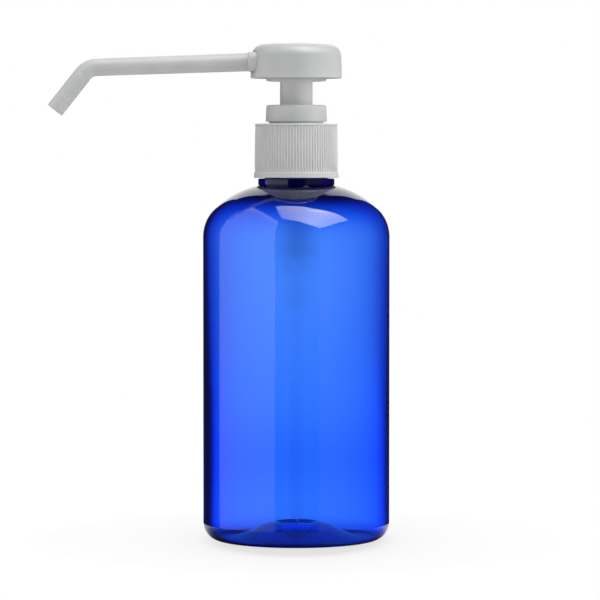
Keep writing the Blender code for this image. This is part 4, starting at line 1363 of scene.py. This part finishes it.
@dataclass
class Head:
    """What the hand presses: the hollow head, its stem and the bent spout."""

    white: Material
    spout_white: Material
    stem_white: Material
    rim: float
    stem_bottom: float
    stem_top: float
    height: float = 0.0139
    radius: float = 0.01812
    rim_edge: float = 0.00025
    taper: float = 0.00032
    crown_drop: float = 0.0005
    corner: float = 0.0049
    wall: float = 0.0014
    roof: float = 0.0016
    hollow_corner: float = 0.0024
    skirt: float = 0.01187
    skirt_wall: float = 0.0014
    skirt_drop: float = 0.0012
    skirt_edge: float = 0.0006
    skirt_flat: float = 0.0005
    socket_wall: float = 0.0015
    stem_radius: float = 0.00645
    stem_bore: float = 0.0046
    stop_radius: float = 0.0072
    stop_height: float = 0.0015
    web: float = 0.0010
    web_height: float = 0.0060
    web_angles: tuple[int, ...] = (0, 60, 120, 240, 300)
    boss_margin: float = 0.0010
    boss_neck: float = 0.0052
    spout_rise: float = 0.0064
    droop: float = 1.95
    reach: float = 0.0643
    bend: float = 0.0072
    tip_angle: float = 51.7
    tip_length: float = 0.0215
    root_radius: float = 0.00363
    end_radius: float = 0.00347
    root_flare: float = 0.00015
    root_fade: float = 0.0002
    root_steps: tuple[float, ...] = (0.0, 0.00008, 0.0002, 0.0004, 0.0007, 0.0012)
    tube_steps: int = 12
    bend_steps: int = 16
    sleeve_radius: float = 0.00355
    sleeve_start: float = 0.0037
    sleeve_steps: tuple[float, ...] = (0.00012, 0.0004)
    sleeve_middle: float = 0.6
    tip_steps: tuple[Point, ...] = ((0.0006, 0.0), (0.00018, 0.0), (0.00006, 0.7), (0.0, 2.2))
    bore: float = 0.0024
    bore_roof: float = 0.0012
    root_depth: float = 0.0088
    oval: Point = (0.0178, 0.0077)
    oval_corner: float = 0.0030
    oval_edge: float = 0.0005
    oval_proud: float = 0.0007
    oval_depth: float = 0.0037

    @property
    def spout_frame(self) -> Matrix:
        """The spout's own frame: X runs into the head, and -X along the spout."""
        return Matrix.Translation((-self.radius, 0, self.rim + self.spout_rise)) @ (
            Matrix.Rotation(-math.radians(self.droop), 4, "Y"))

    @property
    def stem_guide(self) -> float:
        """The radius of the bore that takes the stem."""
        return self.stem_radius + SEAT_GAP

    def build(self) -> None:
        """Build the head, the spout and the stem."""
        self.build_head()
        self.build_spout()
        self.build_stem()

    def outer_form(self) -> Piece:
        """Build the head as a solid: crowned top, round corner, side, rim and skirt.

        Returns:
            The new object.
        """
        top = self.rim + self.height
        shoulder = self.radius - self.taper
        slope = math.atan(2 * self.crown_drop / (shoulder - self.corner))
        crown_edge = shoulder - self.corner * (1 - math.sin(slope))
        centre = (shoulder - self.corner,
                  top - self.crown_drop - self.corner * math.cos(slope))
        section = [(0.0, top, 0.0)]
        section += [(crown_edge * step / 10, top - self.crown_drop * (step / 10) ** 2, 0.0)
                    for step in range(1, 10)]
        section += arc(centre, self.corner, 90 - math.degrees(slope), 0, 18)
        section += [
            (shoulder + self.taper * share, centre[1] + (self.rim - centre[1]) * share, 0.0)
            for share in (0.05, 0.5, 0.9)
        ]
        section += [
            (self.radius, self.rim, self.rim_edge),
            (self.skirt + self.skirt_edge, self.rim, 0.0),
            (self.skirt + self.skirt_edge, self.rim - self.skirt_drop + self.skirt_edge, 0.0),
            (self.skirt - self.skirt_flat, self.rim - self.skirt_drop, 0.0),
            (0.0, self.rim - self.skirt_drop, 0.0),
        ]
        return lathe("head_shell", rounded(section), steps=144)

    def build_head(self) -> None:
        """Build the hollow head with its skirt, webs, spout boss and bores."""
        head = self.outer_form()
        roof = self.rim + self.height - self.roof
        below = self.rim - self.skirt_drop - OVERCUT
        over = self.rim + self.height + OVERCUT
        shell = self.radius - self.wall
        socket_wall = self.stem_guide + self.socket_wall
        skirt_wall = self.skirt - self.skirt_wall
        hollows = (
            [(self.skirt, roof, SOFT), (shell - self.taper, roof, self.hollow_corner),
             (shell, below, 0.0), (self.skirt, below, 0.0)],
            [(socket_wall, roof, SOFT), (skirt_wall, roof, SOFT),
             (skirt_wall, below, 0.0), (socket_wall, below, 0.0)],
        )
        for index, section in enumerate(hollows):
            # The odd count keeps the hollow's edges off the shell's.
            hollow = lathe(f"head_hollow_{index}", rounded(section), steps=137)
            for fill in self.fills(roof - self.web_height, over):
                carve(hollow, fill)
            carve(head, hollow)
        seat = self.stem_top + SEAT_GAP
        ceiling = self.rim + self.spout_rise + self.bore + self.bore_roof
        carve(head, lathe("head_chamber", [
            (0.0, ceiling), (self.stem_bore, ceiling), (self.stem_bore, seat),
            (self.stem_guide, seat), (self.stem_guide, below), (0.0, below)], 96))
        width, height = (side / 2 + SEAT_GAP for side in self.oval)
        recess = block("head_recess", Vector((-3 * OVERCUT, -width, -height)),
                       Vector((self.oval_depth + SEAT_GAP, width, height)),
                       self.oval_corner + SEAT_GAP)
        root = self.root_radius + SEAT_GAP
        socket = sweep("head_socket", [Vector((0, 0, 0)), Vector((self.root_depth, 0, 0))],
                       [root, root], 48)
        inner = self.radius - self.stem_bore / 2
        channel = sweep("head_channel", [Vector((0, 0, 0)), Vector((inner, 0, 0))],
                        [self.bore, self.bore], 40)
        for tool in (recess, socket, channel):
            tool.matrix_world = self.spout_frame
            carve(head, tool)
        settle(crisp(head), Body.HEAD, self.white, "pump_head", "pump_head")

    def fills(self, web_low: float, over: float) -> list[Piece]:
        """Return what stays inside the hollows: webs, spout boss and its neck.

        Args:
            web_low: The height of the webs' lower edge.
            over: A height above the head.

        Returns:
            The blocks that are kept out of a hollow.
        """
        kept = []
        for angle in self.web_angles:
            web = block(f"head_web_{angle}",
                        Vector((self.stem_guide, -self.web / 2, web_low)),
                        Vector((self.radius + OVERCUT, self.web / 2, over)))
            web.matrix_world = Matrix.Rotation(math.radians(angle), 4, "Z")
            kept.append(web)
        width, height = (side / 2 + SEAT_GAP + self.boss_margin for side in self.oval)
        back = self.oval_depth + SEAT_GAP + self.boss_margin - self.radius
        centre = self.rim + self.spout_rise
        kept.append(block("head_boss",
                          Vector((-self.radius - OVERCUT, -width, centre - height)),
                          Vector((back, width, over))))
        kept.append(block("head_boss_neck",
                          Vector((back - OVERCUT, -self.boss_neck, centre - self.boss_neck)),
                          Vector((-self.stem_guide, self.boss_neck, over))))
        return kept

    def build_spout(self) -> None:
        """Build the spout: flat oval root, tapered tube, bend, sleeve and square-cut tip."""
        turn = math.radians(self.tip_angle - self.droop)
        tangent = self.bend * math.tan(turn / 2)
        corner = Vector((-self.reach, 0, 0))
        down = Vector((-math.cos(turn), 0, -math.sin(turn)))
        face = -self.oval_proud
        points = [Vector((self.root_depth, 0, 0)), Vector((self.oval_depth / 2, 0, 0))]
        radii = [self.root_radius, self.root_radius]
        for distance in self.root_steps:
            points.append(Vector((face - distance, 0, 0)))
            radii.append(self.root_radius
                         + self.root_flare * math.exp(-distance / self.root_fade))
        for step in range(1, self.tube_steps):
            share = step / self.tube_steps
            points.append(Vector((face + (tangent - self.reach - face) * share, 0, 0)))
            radii.append(self.root_radius + (self.end_radius - self.root_radius) * share)
        for step in range(self.bend_steps + 1):
            angle = turn * step / self.bend_steps
            points.append(corner + Vector((tangent, 0, 0)) + self.bend * Vector(
                (-math.sin(angle), 0, math.cos(angle) - 1)))
            radii.append(self.end_radius)
        rise = self.sleeve_radius - self.end_radius
        sleeve = [(self.sleeve_start, self.end_radius)]
        sleeve += [(self.sleeve_start + step, self.sleeve_radius) for step in self.sleeve_steps]
        sleeve.append((self.tip_length * self.sleeve_middle, self.sleeve_radius))
        sleeve += [(self.tip_length - step, self.sleeve_radius - rise * share)
                   for step, share in self.tip_steps]
        for distance, radius in sleeve:
            points.append(corner + down * distance)
            radii.append(radius)
        spout = sweep("spout_tube", points, radii, 56)
        width, height = (side / 2 for side in self.oval)
        oval = block("spout_oval", Vector((face, -width, -height)),
                     Vector((self.oval_depth, width, height)), self.oval_corner, self.oval_edge)
        carve(spout, oval, Operation.JOIN)
        points[0] += Vector((OVERCUT, 0, 0))
        points[-1] += down * OVERCUT
        carve(spout, sweep("spout_bore", points, [self.bore] * len(points), 40))
        crisp(spout, angle=38.0)
        spout.data.transform(self.spout_frame)
        settle(spout, Body.HEAD, self.spout_white, "spout", "spout")

    def build_stem(self) -> None:
        """Build the stem with the stop ring at its foot."""
        stop = self.stem_bottom + self.stop_height
        section = [
            (self.stem_bore, self.stem_top, FINE), (self.stem_radius, self.stem_top, SOFT),
            (self.stem_radius, stop, FINE), (self.stop_radius, stop, FINE),
            (self.stop_radius, self.stem_bottom, FINE),
            (self.stem_bore, self.stem_bottom, FINE),
        ]
        stem = lathe("pump_stem", rounded(section), steps=96)
        settle(stem, Body.HEAD, self.stem_white, "stem", "stem")


# Studio


@dataclass(frozen=True)
class Panel:
    """A soft light: a rectangle with a place, a direction, a size and a brightness."""

    name: str
    centre: Corner
    facing: Corner
    along: Corner
    size: Point
    brightness: float

    def hang(self) -> None:
        """Put the light in the scene."""
        light = bpy.data.lights.new(self.name, "AREA")
        light.shape = "RECTANGLE"
        light.size, light.size_y = self.size
        light.energy = self.brightness * math.pi * self.size[0] * self.size[1]
        back = -Vector(self.facing).normalized()
        along = (Vector(self.along) - back * Vector(self.along).dot(back)).normalized()
        turn = Matrix((along, back.cross(along), back)).transposed().to_4x4()
        lamp = bpy.data.objects.new(self.name, light)
        lamp.matrix_world = Matrix.Translation(self.centre) @ turn
        lamp.visible_camera = False
        lamp.visible_glossy = lamp.visible_transmission = False
        bpy.context.scene.collection.objects.link(lamp)
        LOG.info("%s: %.1f W", self.name, light.energy)


@dataclass(frozen=True)
class Card:
    """A soft box's window, which only shows as a highlight: a glowing polygon, graded one way."""

    name: str
    corners: tuple[Corner, ...]
    across: Corner
    glow: tuple[Point, ...]

    def material(self) -> Material:
        """Build the glow: its strength at distances along the card's graded direction.

        Returns:
            The material.
        """
        material = bpy.data.materials.new(self.name)
        material.use_nodes = True
        material.node_tree.nodes.clear()
        graph = Graph(material.node_tree)
        along = graph.add("ShaderNodeVectorMath", {0: graph.place(), 1: self.across},
                          operation="DOT_PRODUCT").outputs["Value"]
        start, end = self.glow[0][0], self.glow[-1][0]
        peak = max(strength for _, strength in self.glow)
        tone = graph.ramp(graph.spread(along, start, end, 0.0, 1.0), [
            ((place - start) / (end - start), (strength / peak,) * 3)
            for place, strength in self.glow])
        light = graph.add("ShaderNodeEmission", {"Color": tone, "Strength": peak})
        graph.add("ShaderNodeOutputMaterial", {"Surface": light.outputs["Emission"]})
        return material

    def hang(self) -> None:
        """Put the card in the scene, out of the camera's sight."""
        mesh = bpy.data.meshes.new(self.name)
        mesh.from_pydata(list(self.corners), [], [tuple(range(len(self.corners)))])
        mesh.materials.append(self.material())
        card = bpy.data.objects.new(self.name, mesh)
        card.visible_camera = card.visible_diffuse = card.visible_shadow = False
        card.visible_transmission = False
        bpy.context.scene.collection.objects.link(card)
        LOG.info("%s: card of %d corners", self.name, len(self.corners))


@dataclass(frozen=True)
class Studio:
    """The room: pale floor, a side lamp, cards for highlights, white surroundings and camera.

    A reach is the distance from the bottle's axis, or the span of it, at which the floor changes.
    """

    camera_place: Corner = (0.00147, -1.3, 0.151)
    camera_target: Corner = (0.00147, 0.0, 0.0954)
    lens: float = 196.5
    floor_radius: float = 0.5
    floor_sides: int = 96
    floor_tone: float = 0.95
    floor_seen_tone: float = 0.62
    floor_lift: float = 0.05
    shade_share: float = 0.05
    contact_stretch: Corner = (1.0, 0.6, 1.0)
    contact_shade: tuple[Point, ...] = ((0.028, 0.77), (0.032, 0.79), (0.0345, 0.85),
                                        (0.036, 0.90), (0.039, 0.94), (0.046, 0.965),
                                        (0.058, 0.985), (0.080, 1.0))
    floor_mirrored: float = 0.12
    mirrored_rise: Point = (-0.010, 0.012)
    shadow_reach: Point = (0.045, 0.110)
    glass_reach: Point = (0.034, 0.040)
    gloss_reach: float = 0.07
    glass_white: float = 1.2
    surround: float = 0.30
    overhead: float = 1.55
    overhead_focus: float = 2.0
    gloss_surround: float = 0.02
    wall_glow: float = 1.5
    wall_breadth: float = 0.39
    wall_flare: Point = (0.12, 0.45)
    wall_foot: Point = (0.0, 0.06)
    wall_top: Point = (0.72, 0.78)
    cards: tuple[Card, ...] = (
        Card("key_window", ((-0.242, 0.138, 1.13), (1.227, -0.165, 1.13), (1.005, -1.675, 1.13),
                            (-0.299, -0.627, 1.13)), (1, 0, 0),
             ((-0.3, 3.3), (-0.1, 4.8), (0.1, 6.6), (0.45, 7.8), (0.8, 5.8), (1.23, 5.0))),
        Card("key_window_edge", ((0.153, -0.051, 1.12), (0.474, -0.064, 1.12),
                                 (0.509, -0.149, 1.12), (0.165, -0.142, 1.12)), (1, 0, 0),
             ((0.15, 9.0), (0.3, 13.0), (0.51, 10.0))),
        Card("left_window", ((-0.55, 0.175, -0.40), (-0.55, 0.163, 0.106), (-0.55, 0.175, 0.401),
                             (-0.55, 0.291, 0.739), (-0.55, 0.401, 1.179),
                             (-0.55, -1.096, 1.331), (-0.55, -1.147, 0.30),
                             (-0.55, -1.147, -0.40)), (0, 0, 1),
             ((-0.4, 0.1), (-0.12, 0.6), (0.05, 0.95), (0.5, 1.2), (0.9, 1.4), (1.15, 2.0),
              (1.33, 2.4))),
        Card("right_window", ((0.55, -1.04, -0.40), (0.55, 0.37, -0.40), (0.55, 0.37, 0.5),
                              (0.55, -1.04, 0.5)), (0, 1, 0),
             ((-1.04, 0.25), (-0.3, 0.2), (0.0, 0.1), (0.37, 0.03))),
    )
    lamp: Panel = Panel("side_lamp", (1.0, -0.2, 0.40), (-1.0, 0.2, -0.22), (0.2, 1.0, 0.0),
                        (1.0, 0.8), 2.1)

    def build(self) -> None:
        """Build the room."""
        self.build_floor()
        self.build_world()
        for card in self.cards:
            card.hang()
        self.lamp.hang()
        self.build_camera()
        bpy.context.scene.view_settings.view_transform = "Standard"

    def build_camera(self) -> None:
        """Stand the camera at the photograph's viewing angle."""
        data = bpy.data.cameras.new("camera")
        data.lens = self.lens
        data.sensor_width = 36.0
        data.clip_start = 0.05
        camera = bpy.data.objects.new("camera", data)
        camera.location = self.camera_place
        direction = Vector(self.camera_target) - Vector(self.camera_place)
        camera.rotation_euler = direction.to_track_quat("-Z", "Y").to_euler()
        bpy.context.scene.collection.objects.link(camera)
        bpy.context.scene.camera = camera

    def build_floor(self) -> None:
        """Lay the floor: matt white, and as bright as the surroundings where it is seen."""
        shape = bmesh.new()
        bmesh.ops.create_circle(shape, cap_ends=True, segments=self.floor_sides,
                                radius=self.floor_radius)
        mesh = bpy.data.meshes.new("floor")
        shape.to_mesh(mesh)
        shape.free()
        floor = bpy.data.objects.new("floor", mesh)
        bpy.context.scene.collection.objects.link(floor)
        mesh.materials.append(self.floor_material())

    def floor_material(self) -> Material:
        """Build the floor's look for each kind of ray.

        Returns:
            The material. The camera sees a glow that darkens at the bottle's foot, with a little
            of the matt floor in it. Refracted rays see the matt floor near the foot and the glow
            around it, and further out they and mirrored rays pass through. Other rays meet the
            matt floor.
        """
        material, graph, shader = new_material("floor_white")
        path, gloss = graph.rays()
        camera, clear = path["Is Camera Ray"], path["Is Transmission Ray"]
        reach = graph.length(graph.place())
        mirrored = graph.spread(graph.parts(graph.place())["Y"], *self.mirrored_rise,
                                self.floor_tone * (self.floor_mirrored - 1.0), 0.0)
        graph.fill(shader, {
            "Base Color": graph.math("ADD", graph.math("MULTIPLY", gloss, mirrored), graph.spread(
                camera, 0.0, 1.0, self.floor_tone, self.floor_seen_tone)),
            "Roughness": 0.9,
            "Specular IOR Level": 0.0,
            "Emission Color": (1.0, 1.0, 1.0),
            "Emission Strength": graph.math("MULTIPLY", camera, self.floor_lift),
        })
        pressed = graph.add("ShaderNodeVectorMath", {0: graph.place(), 1: self.contact_stretch},
                            operation="MULTIPLY").outputs["Vector"]
        contact = graph.ramp(graph.length(pressed), [
            (distance, (shade,) * 3) for distance, shade in self.contact_shade])
        white = graph.add("ShaderNodeEmission", {
            "Strength": graph.mix(camera, (self.glass_white,) * 3, contact)})
        fade = graph.spread(reach, *self.shadow_reach, 0.0, 1.0, smooth=True)
        least = graph.math("MULTIPLY", camera, 1.0 - self.shade_share)
        near = graph.math("MULTIPLY", clear, graph.spread(reach, *self.glass_reach, 0.0, 1.0,
                                                          smooth=True))
        glowing = graph.math("MAXIMUM", fade, least, near)
        far = graph.add("ShaderNodeMixShader", {
            0: graph.math("MULTIPLY", graph.math("MAXIMUM", camera, clear), glowing),
            1: shader.outputs["BSDF"], 2: white.outputs["Emission"]})
        unseen = graph.math("MULTIPLY", graph.math("MAXIMUM", gloss, clear),
                            graph.math("GREATER_THAN", reach, self.gloss_reach))
        ground = graph.add("ShaderNodeMixShader", {
            0: unseen, 1: far.outputs["Shader"],
            2: graph.add("ShaderNodeBsdfTransparent").outputs["BSDF"]})
        graph.fill(material.node_tree.nodes["Material Output"], {
            "Surface": ground.outputs["Shader"]})
        return material

    def build_world(self) -> None:
        """Light the room: white where it is seen, dim elsewhere, with a lit wall behind."""
        world = bpy.data.worlds.new("room")
        bpy.context.scene.world = world
        world.use_nodes = True
        graph = Graph(world.node_tree)
        direction = graph.add("ShaderNodeTexCoord").outputs["Generated"]
        side, back, up = graph.parts(direction)
        flare, rise = self.wall_flare
        flared = graph.math("ADD", graph.math("MULTIPLY", back, flare),
                            graph.math("MULTIPLY", up, rise))
        breadth = graph.math("MINIMUM", graph.math("MULTIPLY", back, self.wall_breadth), flared)
        inside = graph.math("LESS_THAN", graph.math("ABSOLUTE", side), breadth)
        wall = graph.math("MULTIPLY", inside, graph.spread(
            up, *self.wall_foot, 0.0, self.wall_glow, smooth=True))
        wall = graph.math("MULTIPLY", wall, graph.spread(up, *self.wall_top, 1.0, 0.0))
        path, gloss = graph.rays()
        camera, clear = path["Is Camera Ray"], path["Is Transmission Ray"]
        inner = graph.math("GREATER_THAN", path["Transmission Depth"], 0.5)
        seen = graph.math("MAXIMUM", clear, graph.math("MULTIPLY", gloss, inner))
        seen = graph.math("ADD", camera, graph.math("MULTIPLY", seen, self.glass_white))
        outer = graph.math("MULTIPLY", gloss, graph.math("SUBTRACT", 1.0, inner))
        mirrored = graph.math("MULTIPLY", outer, graph.math("ADD", wall, self.gloss_surround))
        plain = graph.math("SUBTRACT", 1.0,
                           graph.math("MAXIMUM", clear, camera, path["Is Glossy Ray"]))
        above = graph.math("POWER", graph.math("MAXIMUM", up, 0.0), self.overhead_focus)
        above = graph.math("ADD", graph.math("MULTIPLY", above, self.overhead), self.surround)
        light = graph.math("MULTIPLY", plain, above)
        graph.fill(world.node_tree.nodes["Background"], {
            "Color": (1.0, 1.0, 1.0),
            "Strength": graph.math("ADD", seen, mirrored, light)})


def main() -> None:
    """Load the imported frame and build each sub-assembly around it."""
    logging.basicConfig(level=logging.INFO, format="%(name)s: %(message)s")
    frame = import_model()
    nodes = frame["nodes"]
    Studio().build()

    ribs, coils = rib_tree(), coil_tree()
    # The collar's white is lighter than the head's, as painted light that lifts the shade between
    # its ribs.
    white = MouldedPlastic("collar_white_with_painted_light", (0.67, 0.675, 0.675), 0.45, glow=0.1,
                           depth=0.0015).material()
    ring_white = MouldedPlastic("ring_white", (0.625, 0.63, 0.63), 0.42, glow=0.3).material()
    head_white = MouldedPlastic("head_white", (0.58, 0.585, 0.59), 0.40).material()
    spout_white = MouldedPlastic("spout_white", (0.60, 0.605, 0.605), 0.46, glow=0.25,
                                 depth=0.0012).material()
    # The stem's white is lighter than the head's: painted light in the shade under the head.
    stem_white = MouldedPlastic("stem_white", (0.74, 0.745, 0.745), 0.40).material()
    low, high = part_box("closure")
    natural = NaturalPlastic("barrel_natural", (0.965, 0.975, 0.985), 0.14, 1.12,
                             opaque_above=high.z - PumpBody.cover).material()
    clear = NaturalPlastic("tube_clear", (0.975, 0.98, 0.985), 0.1, 1.1).material()
    waxy = NaturalPlastic("piston_natural", (0.97, 0.975, 0.97), 0.2, 1.08).material()

    bottle = Bottle(coils)
    bottle.build()
    Closure(ribs, coils, white, bottom=low.z, top=high.z).build()
    _, ring_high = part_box("lock_ring")
    stem_low, stem_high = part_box("stem")
    spring_low, spring_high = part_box("return_spring")
    housing_low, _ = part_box("housing")
    tube_low, tube_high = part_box("dip_tube")
    PumpBody(
        coils, ring_white, natural, clear, neck_top=bottle.neck_top, closure_top=high.z,
        ring_top=ring_high.z, stop_top=stem_low.z + Head.stop_height,
        tube_ceiling=tube_high.z + SEAT_GAP, socket_bottom=housing_low.z,
        tube_bottom=tube_low.z, spring_low=spring_low.z, spring_high=spring_high.z,
    ).build()
    head_low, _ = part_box("pump_head")
    Head(head_white, spout_white, stem_white, rim=head_low.z + Head.skirt_drop,
         stem_bottom=stem_low.z, stem_top=stem_high.z).build()

    dress(nodes["neck_gasket"], ClosedFoam("gasket_foam").material())
    for node in ("ball_retainer", "valve_rod", "piston"):
        dress(nodes[node], waxy)
    dress(nodes["inlet_ball"],
          NaturalPlastic("ball_glass", (0.97, 0.99, 0.99), 0.05, 1.06).material())


if __name__ == "__main__":
    main()
